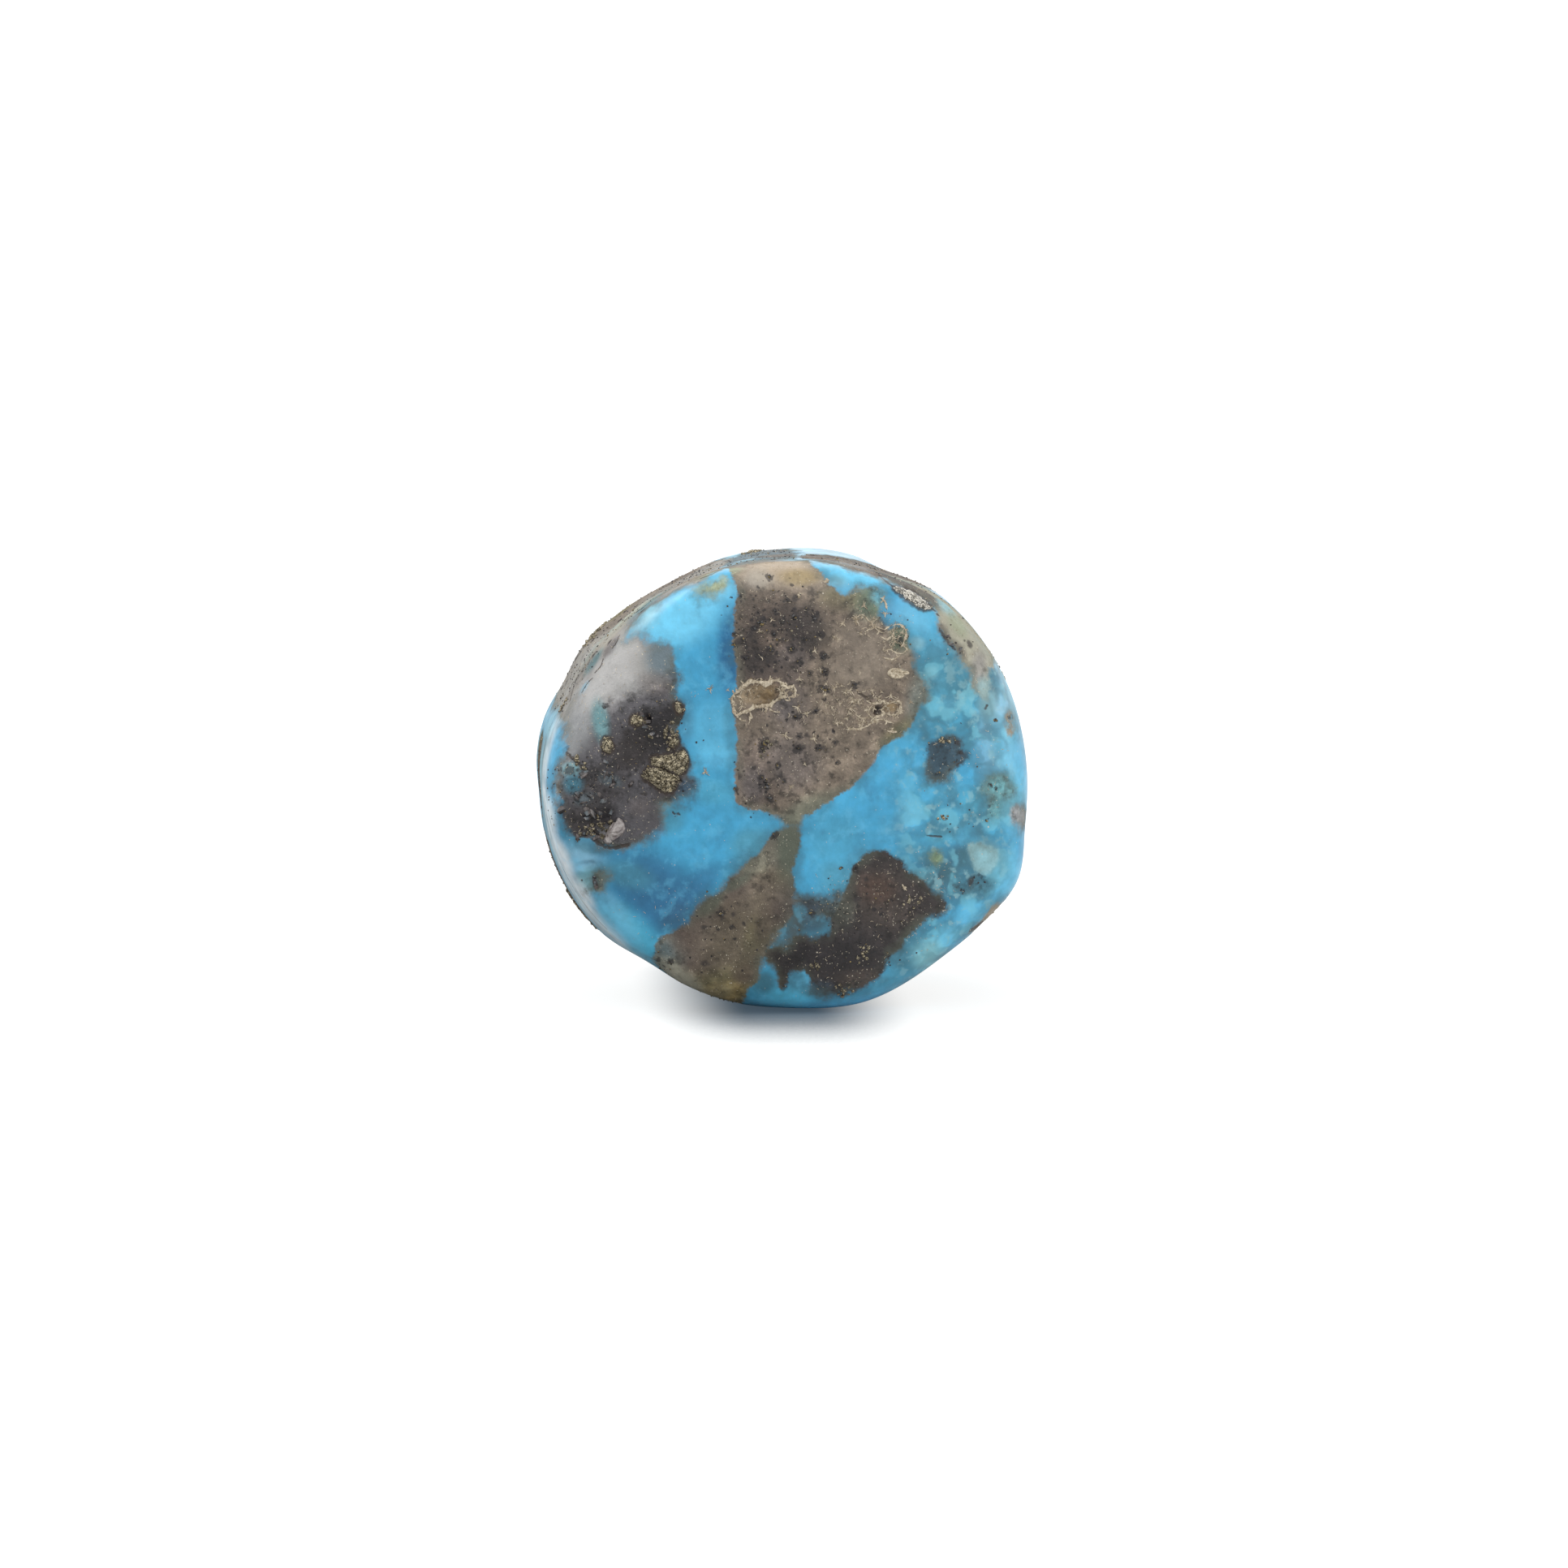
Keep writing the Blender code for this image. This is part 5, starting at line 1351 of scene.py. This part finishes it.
def stone_material():
    """Blue and matrix with a soft edge between them, then cracks, dark cores and pale dust."""
    s = Shader("turquoise with matrix")
    edge, grit = s.field("edge"), s.field("grit")
    wobble = s.swing(s.plus(s.times(edge, 3.0), 0.34), 0.7, 6, 0.65)
    depth = s.plus(s.field("matrix"), wobble, s.swing(0.16, 0.11, 2))
    matrix = s.rise(depth, s.times(edge, -1), edge)
    colour = s.mix(matrix, blue_colour(s, depth), rock_colour(s, depth, grit))

    split = s.rise(s.plus(s.field("crack"), s.swing(1, 0.12, 3)), 0.3, 0.75)
    colour = s.tinted(colour, "pit", split, 0.8)
    cores = s.specks(0.28, 0.07, s.times(grit, s.plus(0.3, s.times(matrix, 0.6))))
    colour = s.tinted(colour, "black", cores, 0.9)
    dust = s.times(s.field("dust"), s.clumps(0.9, 0.36, 0.60, 3))
    flecks = s.specks(0.21, 0.034, s.times(dust, 0.6))
    powder = s.specks(0.12, 0.026, dust)
    pale = s.math("MAXIMUM", s.times(flecks, 0.85), s.times(powder, 0.7))
    colour = s.tinted(colour, "dusty", pale)
    surround = s.rise(s.plus(s.field("pyrite"), s.swing(0.2, 0.17, 3)), -0.12, 0.0)
    colour = s.tinted(colour, "pit", surround, 0.85)

    grain = s.plus(s.swing(0.020, 0.5, 4), s.times(matrix, s.swing(0.018, 0.07, 3)),
                   s.times(cores, -0.02), s.times(split, -0.02))
    worn = s.times(matrix, s.field("worn"))
    roughness = s.plus(0.33, s.times(matrix, 0.08), s.swing(0.18, 0.35, 4), s.times(pale, 0.2),
                       s.times(worn, 0.25))
    shine = s.plus(0.35, s.times(worn, -0.29))
    return s.surface(colour, roughness, grain, IOR=1.55, Specular_IOR_Level=shine)


def pyrite_material(name, brass, between):
    """Crumpled metal: bright brass ridges, painted shade in worm-like grooves, and dark tarnish."""
    s = Shader(name)
    groove = s.math("ABSOLUTE", s.plus(s.noise(0.09, 2.0, 0.55, s.bent(0.3, 0.15)), -0.5))
    ridge = s.rise(groove, 0.008, 0.075)
    tone = s.shaded(brass, s.plus(1, s.swing(1.6, 0.3, 4, 0.6)))
    # Painted shade: the grooves take the near-black colour, which also darkens clumps as tarnish.
    colour = s.mix(ridge, between, tone)
    colour = s.mix(s.times(s.clumps(0.4, 0.52, 0.66, 4), 0.6), colour, between)
    roughness = s.plus(0.34, s.times(s.noise(0.05), 0.3))
    return s.surface(colour, roughness, s.times(ridge, 0.04), Metallic=0.6, IOR=1.5)


def dark_grain_material():
    """Black grains, some of them with a dull yellow glint."""
    s = Shader("dark grains")
    glint = s.clumps(0.16, 0.55, 0.62)
    colour = s.tinted(rgb("black"), "olive_yellow", glint, 0.7)
    roughness = s.plus(0.35, s.times(glint, 0.1))
    return s.surface(colour, roughness, Metallic=s.times(glint, 0.5), IOR=1.6)


def crust_material():
    """Dry pale crust with tan stains."""
    s = Shader("dry crust")
    colour = s.mix(s.clumps(0.12, 0.35, 0.62, 4, 0.6), CRUST_DARK, CRUST_PALE)
    colour = s.tinted(colour, "tan", s.clumps(0.8, 0.5, 0.65), 0.35)
    return s.surface(colour, 0.75, s.swing(0.02, 0.04), IOR=1.5)


def shard_material():
    """Broken grey mineral with black and slate parts."""
    s = Shader("grey shards")
    colour = s.tinted(rgb("dark"), "lilac", s.clumps(0.2, 0.40, 0.58))
    colour = s.tinted(colour, "black", s.clumps(0.5, 0.48, 0.62), 0.7)
    colour = s.tinted(colour, "slate_grey", s.clumps(0.26, 0.50, 0.60), 0.45)
    return s.surface(colour, 0.35, s.swing(0.01, 0.05), IOR=1.54)


def quartz_material():
    """Smoky quartz with paler veils."""
    s = Shader("smoky quartz chip")
    colour = s.mix(s.clumps(0.25, 0.4, 0.65, 4), QUARTZ_SMOKE, QUARTZ_VEIL)
    return s.surface(colour, 0.32, s.swing(0.02, 0.1, 3), IOR=1.54)


# --- Small things scattered over the skin ---------------------------------------------------------
def template(name, build):
    """A small mesh, about one unit long, that a scatter repeats."""
    mesh = bmesh.new()
    build(mesh)
    return bpy.data.objects.new(name, as_data(name, mesh))


def crystal_shape(mesh):
    """A cube with its edges taken off."""
    bmesh.ops.create_cube(mesh, size=1)
    bmesh.ops.bevel(mesh, geom=list(mesh.edges), offset=0.14, segments=1, affect="EDGES")


def jagged_shape(mesh, seed, low, high, stretch=(1, 1, 1)):
    """An uneven lump, whose corners lie between two shares of a ball's radius."""
    draw = random.Random(seed)
    bmesh.ops.create_icosphere(mesh, subdivisions=1, radius=0.5)
    for vertex in mesh.verts:
        vertex.co = Matrix.Diagonal(stretch) @ vertex.co * draw.uniform(low, high)


def join_rings(mesh, rings):
    """Faces from each ring of vertices to the next, and one that closes the first."""
    for first, second in zip(rings, rings[1:]):
        for i in range(len(first)):
            j = (i + 1) % len(first)
            mesh.faces.new((first[i], first[j], second[j], second[i]))
    mesh.faces.new(rings[0][::-1])


FLAKE_LIFT = 0.22  # how high a flake's ends curl up
FLAKE_SECTION = ((-1, -0.04), (1, -0.04), (1, 0.03), (-1, 0.03))  # side and height of its corners
TUFT_FLAKES = ((1.9, 0.06, 0.8, 0.3), (-1.2, 0.045, 1.0, 1.5), (0.7, 0.06, 0.6, 2.6))


def flake(mesh, bend, width, length=1.0, turn=0.0, steps=4):
    """A thin flake that curls as it runs, widest in its middle and lifted at its ends."""
    rings = []
    spin = Matrix.Rotation(turn, 3, "Z") * length
    for i in range(steps + 1):
        t = i / steps
        angle = bend * (t - 0.5)
        middle = Vector((math.sin(angle), 1 - math.cos(angle), 0)) / bend
        middle.z = FLAKE_LIFT * (2 * t - 1) ** 2 * (0.4 + t)
        aside = Vector((-math.sin(angle), math.cos(angle), 0))
        half = width * (0.25 + 0.75 * math.sin(math.pi * t))
        corners = [middle + aside * side * half + Vector((0, 0, z)) for side, z in FLAKE_SECTION]
        rings.append([mesh.verts.new(spin @ corner) for corner in corners])
    join_rings(mesh, rings)
    mesh.faces.new(rings[-1])


def tuft_shape(mesh):
    """Three flakes that lie across each other."""
    for bend, width, length, turn in TUFT_FLAKES:
        flake(mesh, bend, width, length, turn, 3)


LEAST_AMOUNT = 0.01  # of a field, below which nothing is scattered
SCATTER_INPUTS = (
    ("Geometry", "NodeSocketGeometry"),
    ("Shape", "NodeSocketObject"),
    ("Field", "NodeSocketString"),
    ("Most per square metre", "NodeSocketFloat"),
    ("Apart", "NodeSocketFloat"),
    ("Smallest", "NodeSocketFloat"),
    ("Largest", "NodeSocketFloat"),
    ("Tilt", "NodeSocketFloat"),
    ("Material", "NodeSocketMaterial"),
    ("Seed", "NodeSocketInt"),
)


def scatter_tree():
    """Nodes that lay copies of a shape over a skin, as thickly as one of its fields says."""
    tree = bpy.data.node_groups.new("scatter over skin", "GeometryNodeTree")
    new_socket = tree.interface.new_socket
    sockets = {label: new_socket(label, in_out="INPUT", socket_type=kind).identifier
               for label, kind in SCATTER_INPUTS}
    new_socket("Geometry", in_out="OUTPUT", socket_type="NodeSocketGeometry")

    n = Nodes(tree)
    given = n.add("NodeGroupInput").outputs
    field = n.add("GeometryNodeInputNamedAttribute", {"Name": given["Field"]}, data_type="FLOAT")
    amount = field.outputs["Attribute"]
    some = n.add("FunctionNodeCompare", {"A": amount, "B": LEAST_AMOUNT}, data_type="FLOAT",
                 operation="GREATER_THAN")
    points = n.add("GeometryNodeDistributePointsOnFaces", {
        "Mesh": given["Geometry"],
        "Selection": some.outputs["Result"],
        "Distance Min": given["Apart"],
        "Density Max": given["Most per square metre"],
        "Density Factor": amount,
        "Seed": given["Seed"],
    }, distribute_method="POISSON")
    tilt = given["Tilt"]
    most = n.add("ShaderNodeCombineXYZ", {"X": tilt, "Y": tilt, "Z": math.pi}).outputs[0]
    least = n.add("ShaderNodeVectorMath", {0: most, "Scale": -1}, operation="SCALE").outputs[0]
    lean = n.add("FunctionNodeRandomValue", {"Min": least, "Max": most, "Seed": given["Seed"]},
                 data_type="FLOAT_VECTOR")
    turn = n.add("FunctionNodeEulerToRotation", {"Euler": lean.outputs["Value"]})
    turned = n.add("FunctionNodeRotateRotation", {
        "Rotation": points.outputs["Rotation"], "Rotate By": turn.outputs["Rotation"],
    }, rotation_space="LOCAL")
    size = n.add("FunctionNodeRandomValue", {"Seed": given["Seed"]}, data_type="FLOAT")
    least_size, most_size = [socket for socket in size.inputs if socket.enabled][:2]
    n.put(least_size, given["Smallest"])
    n.put(most_size, given["Largest"])
    shape = n.add("GeometryNodeObjectInfo", {"Object": given["Shape"]})
    copies = n.add("GeometryNodeInstanceOnPoints", {
        "Points": points.outputs["Points"],
        "Instance": shape.outputs["Geometry"],
        "Rotation": turned.outputs["Rotation"],
        "Scale": [socket for socket in size.outputs if socket.enabled][0],
    })
    real = n.add("GeometryNodeRealizeInstances", {"Geometry": copies.outputs["Instances"]})
    dressed = n.add("GeometryNodeSetMaterial", {
        "Geometry": real.outputs["Geometry"], "Material": given["Material"],
    })
    n.add("NodeGroupOutput", {"Geometry": dressed.outputs["Geometry"]})
    return tree, sockets


# Most in a square mm, mm apart, smallest and largest length in mm, and tilt in degrees.
Scatter = namedtuple(
    "Scatter", "name slot field shape per_mm2 apart smallest largest tilt material seed"
)


def scatter(stone, tree, sockets, plan):
    """One kind of small thing over the stone, as a plain mesh piece."""
    holder = bpy.data.objects.new("skin to scatter on", stone.mesh.copy())
    shape = template("one of " + plan.name, plan.shape)
    for thing in (holder, shape):
        bpy.context.scene.collection.objects.link(thing)
    modifier = holder.modifiers.new("scatter", "NODES")
    modifier.node_group = tree
    for label, value in (
        ("Shape", shape),
        ("Field", plan.field),
        ("Most per square metre", plan.per_mm2 / MM**2),
        ("Apart", plan.apart * MM),
        ("Smallest", plan.smallest * MM),
        ("Largest", plan.largest * MM),
        ("Tilt", math.radians(plan.tilt)),
        ("Material", plan.material),
        ("Seed", plan.seed),
    ):
        modifier[sockets[label]] = value
    evaluated = holder.evaluated_get(bpy.context.evaluated_depsgraph_get())
    mesh = bpy.data.meshes.new_from_object(evaluated)
    mesh.name = plan.name
    for name in [a.name for a in mesh.attributes if a.name in stone.field_names]:
        mesh.attributes.remove(mesh.attributes[name])
    for thing in (holder, shape):
        data = thing.data
        bpy.data.objects.remove(thing)
        bpy.data.meshes.remove(data)
    finished(plan.name, mesh, plan.slot)


# --- Crust, chips and plates laid one by one ------------------------------------------------------
CRUST_SEED, SPECK_SEED = 11, 3
SPUR_SHARE = 0.3  # of the steps along a rim of crust, those where a spur splits off
SPUR_WIDTH = 0.42  # against the rim that it splits off
CRUST_REACHES = (0.8, 1, 1.2, 1.5, 2.4)  # of the lobes of a torn edge
LOBE_STEPS = 3  # steps along a ribbon of crust from one lobe to the next
PLATE_RINGS = ((0.0, -0.5), (0.06, 0.5), (0.22, 1.0), (0.6, 0.95))  # way inwards, share of height
ORE_SPACING = 0.05
ORE_RIM_WOBBLE, ORE_RIM_SPAN = 0.07, 0.16
ORE_SINK = 0.035  # mm that the rim of a mass of ore lies below the skin
ORE_SHOULDER = 0.3  # mm from the rim inwards, over which it rises to its full height
ORE_FOLD, ORE_FOLD_SPAN = 0.09, 0.30  # mm that its folds go up and down, and from one to the next
SMALL_SPECK = 0.08  # mm, a radius up to which a speck has two crumbs and not four


def crust_spurs(route, half_width, draw):
    """Short routes that split off a rim of crust to either side."""
    spots = smooth_route(route, False, 4)
    for spot, ahead in zip(spots[:-1], spots[1:]):
        if draw.random() > SPUR_SHARE:
            continue
        heading = math.atan2(*(ahead - spot)[::-1]) + draw.choice((-1, 1)) * draw.uniform(0.4, 1.5)
        length = half_width * draw.uniform(1.5, 4.0)
        bend = heading + draw.uniform(-0.9, 0.9)
        middle = spot + 0.5 * length * np.array([math.cos(heading), math.sin(heading)])
        end = middle + 0.5 * length * np.array([math.cos(bend), math.sin(bend)])
        yield tuple(spot), tuple(middle), tuple(end)


def torn_edge(count, draw):
    """How far a ribbon reaches aside at each step: lobes with a longer one here and there."""
    lobes = count // LOBE_STEPS + 2
    knots = [draw.uniform(0.35, 1.2) * draw.choice(CRUST_REACHES) for _ in range(lobes)]
    return np.interp(np.arange(count) / LOBE_STEPS, range(lobes), knots)


def crust_strand(mesh, skin, half_width, route, draw):
    """A torn ribbon of crust that follows a route over the skin."""
    spots = smooth_route(route, False, 9)
    edges = torn_edge(len(spots), draw), torn_edge(len(spots), draw)
    rings = []
    for i, spot in enumerate(spots):
        ahead = spots[min(i + 1, len(spots) - 1)] - spots[max(i - 1, 0)]
        aside = np.array([-ahead[1], ahead[0]]) / max(math.hypot(*ahead), 1e-6)
        half = half_width * (0.25 + 0.75 * math.sin(math.pi * (i + 0.5) / len(spots)) ** 0.5)
        left, right = (half * edge[i] for edge in edges)
        top, shift = half * draw.uniform(0.5, 1.4), half * draw.uniform(-0.3, 0.3)
        left_lift, right_lift = half * draw.uniform(0.1, 0.9), half * draw.uniform(0.1, 0.9)
        section = (
            (-0.8 * left, -0.4 * half), (-left, left_lift), (-0.35 * left + shift, top),
            (0.35 * right + shift, 0.8 * top), (right, right_lift), (0.8 * right, -0.4 * half),
        )
        rings.append([mesh.verts.new(skin.point(*(spot + aside * reach), lift))
                      for reach, lift in section])
    join_rings(mesh, rings)
    mesh.faces.new(rings[-1])


def make_crust(skin, material):
    """The pale crust that rims the hollows."""
    draw = random.Random(CRUST_SEED)
    mesh = bmesh.new()
    for half_width, route in CRUST_ROUTES:
        crust_strand(mesh, skin, half_width, route, draw)
        for spur in crust_spurs(route, half_width, draw):
            crust_strand(mesh, skin, SPUR_WIDTH * half_width, spur, draw)
    laid_piece("crust_rims", mesh, material, "crust")


def raised_plate(name, skin, outline, material, height, steps, roughness, seed):
    """A chip of another mineral whose rim sinks into the skin and whose top is broken."""
    draw = random.Random(seed)
    places = smooth_route(outline, True, steps)
    middle = places.mean(0)
    mesh = bmesh.new()
    rings = []
    for inwards, share in PLATE_RINGS:
        ring = []
        for spot in places:
            jolt = 1 + roughness * draw.uniform(-1, 1) * (share > 0)
            lift = height * share * jolt
            ring.append(mesh.verts.new(skin.point(*(spot + (middle - spot) * inwards), lift)))
        rings.append(ring)
    join_rings(mesh, rings)
    top = mesh.verts.new(skin.point(*middle, height))
    last = rings[-1]
    for first, second in zip(last, last[1:] + last[:1]):
        mesh.faces.new((first, second, top))
    laid_piece(name, mesh, material, "crust")


def inside_grid(outline, spacing):
    """The outline's own points, and points spacing apart inside it."""
    rim = smooth_route(outline, True, 6)
    flat = np.column_stack([rim, np.zeros(len(rim))])
    rim = rim + ORE_RIM_WOBBLE * np.stack(
        [waves(flat, ORE_RIM_SPAN, shift) for shift in (2.0, 6.0)], axis=1
    )
    low, high = rim.min(0), rim.max(0)
    rows = []
    for j, above in enumerate(np.arange(low[1], high[1], spacing * 0.87)):
        for across in np.arange(low[0] + (j % 2) * spacing / 2, high[0], spacing):
            rows.append((across, above))
    grid = np.array(rows)
    distance, within = distance_to(grid, rim, True)
    return rim, grid[within & (distance > 0.6 * spacing)]


def make_ore(name, skin, outlines, material, height):
    """Crumpled masses of ore, this many mm proud of the skin, with their rims sunk in it."""
    mesh = bmesh.new()
    for outline in outlines:
        rim, grid = inside_grid(outline, ORE_SPACING)
        spots = np.vstack([rim, grid])
        distance, _ = distance_to(spots, rim, True)
        distance[: len(rim)] = 0
        flat = np.column_stack([spots, np.zeros(len(spots))])
        fold = np.abs(waves(flat, ORE_FOLD_SPAN, 4.0))
        fold += 0.5 * np.abs(waves(flat, ORE_FOLD_SPAN / 2, 9.0))
        lift = height * np.sqrt(np.clip(distance / ORE_SHOULDER, 0, 1)) - ORE_SINK
        lift += ORE_FOLD * (rise(fold, 0.0, 0.35) - 0.5) * rise(distance, 0, 0.08)
        made = [mesh.verts.new(skin.point(*spot, up))
                for spot, up in zip(spots.tolist(), lift.tolist())]
        ring = list(range(len(rim)))
        edges = list(zip(ring, ring[1:] + ring[:1]))
        corners = [Vector(spot) for spot in spots.tolist()]
        _, _, faces, origins, _, _ = delaunay_2d_cdt(corners, edges, [], 1, 1e-6)
        for face in faces:
            mesh.faces.new([made[origins[i][0]] for i in face])
        mesh.faces.new(made[: len(rim)])
    laid_piece(name, mesh, material, "pyrite")


def make_specks(skin, material):
    """The dark specks that have a place of their own, as crumbs sunk in the skin."""
    draw = random.Random(SPECK_SEED)
    mesh = bmesh.new()
    for across, above, radius in SPECKS:
        for _ in range(4 if radius > SMALL_SPECK else 2):
            away = radius * draw.uniform(0.1, 0.8)
            angle = draw.uniform(0, 2 * math.pi)
            place = skin.point(across + away * math.cos(angle), above + away * math.sin(angle))
            size = radius * draw.uniform(0.35, 0.75) * MM
            tip = Matrix.Rotation(draw.uniform(0, 3), 4, "X")
            turn = tip @ Matrix.Rotation(draw.uniform(0, 3), 4, "Y")
            matrix = Matrix.Translation(place) @ turn @ Matrix.Diagonal((size, size * 0.7, size, 1))
            made = bmesh.ops.create_icosphere(mesh, subdivisions=1, radius=1, matrix=matrix)
            for vertex in made["verts"]:
                vertex.co += (vertex.co - place) * draw.uniform(-0.3, 0.2)
    laid_piece("placed_specks", mesh, material, "pyrite")


# --- Stage, light and camera ----------------------------------------------------------------------
FLOOR_RADIUS = 0.4  # metres
FLOOR_SIDES = 96
FLOOR_DROP = 0.02  # mm that the floor lies below the stone
# The floor's shadow is painted: its glow darkens by the ambient occlusion within these reaches.
NEAR_SHADOW, WIDE_SHADOW = 3.5, 14.0  # mm within which the stone keeps light from the floor
SHADOW_GLOW = (0.05, 0.075, 0.10)
OPEN_GLOW = (1.0, 1.0, 0.985)
FLOOR_SEEN = (0.18, 0.19, 0.2)
FLOOR_BOUNCE_LEFT, FLOOR_BOUNCE_RIGHT = (0.32,) * 3, (0.75,) * 3  # what the stone is lit by


def make_floor():
    """The white surface that the stone stands on, with a painted shadow in its glow."""
    mesh = bpy.data.meshes.new("floor")
    turns = np.linspace(0, 2 * math.pi, FLOOR_SIDES, endpoint=False)
    z = -FLOOR_DROP * MM
    rim = [(FLOOR_RADIUS * math.cos(t), FLOOR_RADIUS * math.sin(t), z) for t in turns]
    mesh.from_pydata(rim, [], [tuple(range(FLOOR_SIDES))])
    floor = bpy.data.objects.new("floor", mesh)
    bpy.context.scene.collection.objects.link(floor)
    s = Shader("white floor")
    seen = s.add("ShaderNodeLightPath").outputs["Is Camera Ray"]
    near, wide = (s.add("ShaderNodeAmbientOcclusion", {"Distance": reach * MM}).outputs["AO"]
                  for reach in (NEAR_SHADOW, WIDE_SHADOW))
    across = s.add("ShaderNodeSeparateXYZ", {"Vector": s.place}).outputs["X"]
    # Painted shadow: darker where ambient occlusion finds the stone near, and painted lighter with
    # distance to either side.
    aside = s.rise(s.math("ABSOLUTE", s.plus(across, 0.3)), 1.3, 6.0)
    bright = s.times(s.rise(near, 0.06, 0.93), s.rise(wide, 0.50, 0.92))
    bright = s.plus(bright, s.times(aside, s.rest(bright), 0.85))
    glow = s.mix(seen, (0, 0, 0), s.mix(bright, SHADOW_GLOW, OPEN_GLOW))
    bounce = s.mix(s.rise(across, -2, 3), FLOOR_BOUNCE_LEFT, FLOOR_BOUNCE_RIGHT)
    inputs = {"Specular_IOR_Level": 0.0, "Emission_Color": glow, "Emission_Strength": 1.0}
    mesh.materials.append(s.surface(s.mix(seen, bounce, FLOOR_SEEN), 0.9, **inputs))


TENT_LOW, TENT_HIGH = 0.40, 0.70  # strength of the light from the horizon and from above
TENT_MIRRORED = 0.95
BACKDROP = 1.15


def make_world():
    """White where the camera looks past the stone, and a dimmer tent of light elsewhere."""
    world = bpy.data.worlds.new("light tent")
    world.use_nodes = True
    n = Nodes(world.node_tree)
    path = n.add("ShaderNodeLightPath").outputs
    way = n.add("ShaderNodeTexCoord").outputs["Generated"]
    height = n.add("ShaderNodeSeparateXYZ", {0: way}).outputs["Z"]
    tent = n.add("ShaderNodeMapRange", {
        "Value": height, "From Min": 0.0, "From Max": 0.8, "To Min": TENT_LOW, "To Max": TENT_HIGH,
    }).outputs[0]
    tent = n.add("ShaderNodeMix", {0: path["Is Camera Ray"], 2: tent, 3: BACKDROP}).outputs[0]
    tent = n.add("ShaderNodeMix", {0: path["Is Glossy Ray"], 2: tent, 3: TENT_MIRRORED}).outputs[0]
    glow = n.add("ShaderNodeBackground", {"Color": OPEN_GLOW, "Strength": tent})
    n.add("ShaderNodeOutputWorld", {"Surface": glow.outputs[0]})
    bpy.context.scene.world = world


STONE_MIDDLE = Vector((0, 0, 9.5)) * MM
# Each light's name, direction from the stone, distance and width in metres, and power in watts.
LIGHTS = (
    ("overhead softbox", (-0.63, 0.14, 0.76), 0.30, 0.16, 0.40),
    ("front fill", (0.2, -0.80, 0.75), 0.50, 0.40, 1.08),
    ("left card", (-1.0, -0.10, 0.02), 0.32, 0.18, 0.25),
    ("back light", (0.3, 0.9, 0.5), 0.45, 0.35, 0.5),
    ("right card", (1.0, -0.30, 0.0), 0.32, 0.18, 0.20),
)


def make_lights():
    """Square soft lights, all turned to the stone."""
    for name, direction, distance, width, power in LIGHTS:
        light = bpy.data.lights.new(name, "AREA")
        light.size = width
        light.energy = power
        lamp = bpy.data.objects.new(name, light)
        towards = Vector(direction).normalized()
        lamp.location = STONE_MIDDLE + towards * distance
        lamp.rotation_euler = towards.to_track_quat("Z", "Y").to_euler()
        bpy.context.scene.collection.objects.link(lamp)


def make_camera(aside):
    """A long lens, a little right of and below the middle of the face."""
    right, up, towards = sight()
    face = FACE_MIDDLE + np.array([0, 0, AXIS_HEIGHT]) + aside
    spot = face + towards * SIGHT_DISTANCE + right * CAMERA_ASIDE + up * CAMERA_ABOVE
    camera = bpy.data.objects.new("camera", bpy.data.cameras.new("camera"))
    camera.data.lens = LENS
    camera.data.sensor_width = SENSOR
    camera.data.clip_start = MM
    rows = [(*row, place) for *row, place in zip(right, up, towards, spot * MM)]
    camera.matrix_world = Matrix((*rows, (0, 0, 0, 1)))
    bpy.context.scene.collection.objects.link(camera)
    bpy.context.scene.camera = camera


def scatter_plans(pyrite, grains, crust):
    """What is scattered over the stone, in this order."""
    crumb = partial(jagged_shape, seed=5, low=0.7, high=1.15)
    curl = partial(flake, bend=-2.4, width=0.07)
    splinter = partial(flake, bend=0.5, width=0.07)
    shard = partial(jagged_shape, seed=8, low=0.45, high=1.2, stretch=(1, 0.65, 0.4))
    return (
        Scatter("pyrite_crystals", "pyrite", "crystals", crystal_shape, 90, 0.07, 0.06, 0.14, 180,
                pyrite, 1),
        Scatter("dark_grains", "pyrite", "grit", crumb, 7, 0.10, 0.04, 0.10, 180, grains, 2),
        Scatter("crust_tufts", "crust", "fibres", tuft_shape, 13, 0.10, 0.16, 0.50, 12, crust, 3),
        Scatter("crust_curls", "crust", "fibres", curl, 12, 0.08, 0.10, 0.26, 20, crust, 6),
        Scatter("crust_splinters", "crust", "slivers", splinter, 80, 0.04, 0.04, 0.14, 25,
                crust, 4),
        Scatter("grey_shards", "crust", "shards", shard, 14, 0.20, 0.26, 0.70, 180,
                shard_material(), 5),
    )


def main():
    """Builds the stone, what lies on it, and the stage round it."""
    stone = make_stone()
    skin = stone.skin
    grains = dark_grain_material()
    pyrite = pyrite_material("pyrite", BRASS, BRASS_SHADE_AND_TARNISH)
    silvery = pyrite_material("silvery plate", SILVERY, SILVERY_SHADE_AND_TARNISH)
    crust = crust_material()
    make_specks(skin, grains)
    make_crust(skin, crust)
    raised_plate("quartz_chip", skin, QUARTZ_OUTLINE, quartz_material(), height=0.16, steps=2,
                 roughness=0.25, seed=21)
    make_ore("pyrite_nodules", skin, PYRITE_OUTLINES, pyrite, height=0.10)
    make_ore("rim_plate", skin, [RIM_PLATE_OUTLINE], silvery, height=0.11)
    raised_plate("oval_flake", skin, OVAL_FLAKE, crust, height=0.09, steps=3,
                 roughness=0.3, seed=23)

    tree, sockets = scatter_tree()
    for plan in scatter_plans(pyrite, grains, crust):
        scatter(stone, tree, sockets, plan)
    make_floor()
    make_world()
    make_lights()
    make_camera(stone.aside)
    bpy.context.scene.view_settings.view_transform = "Standard"


main()
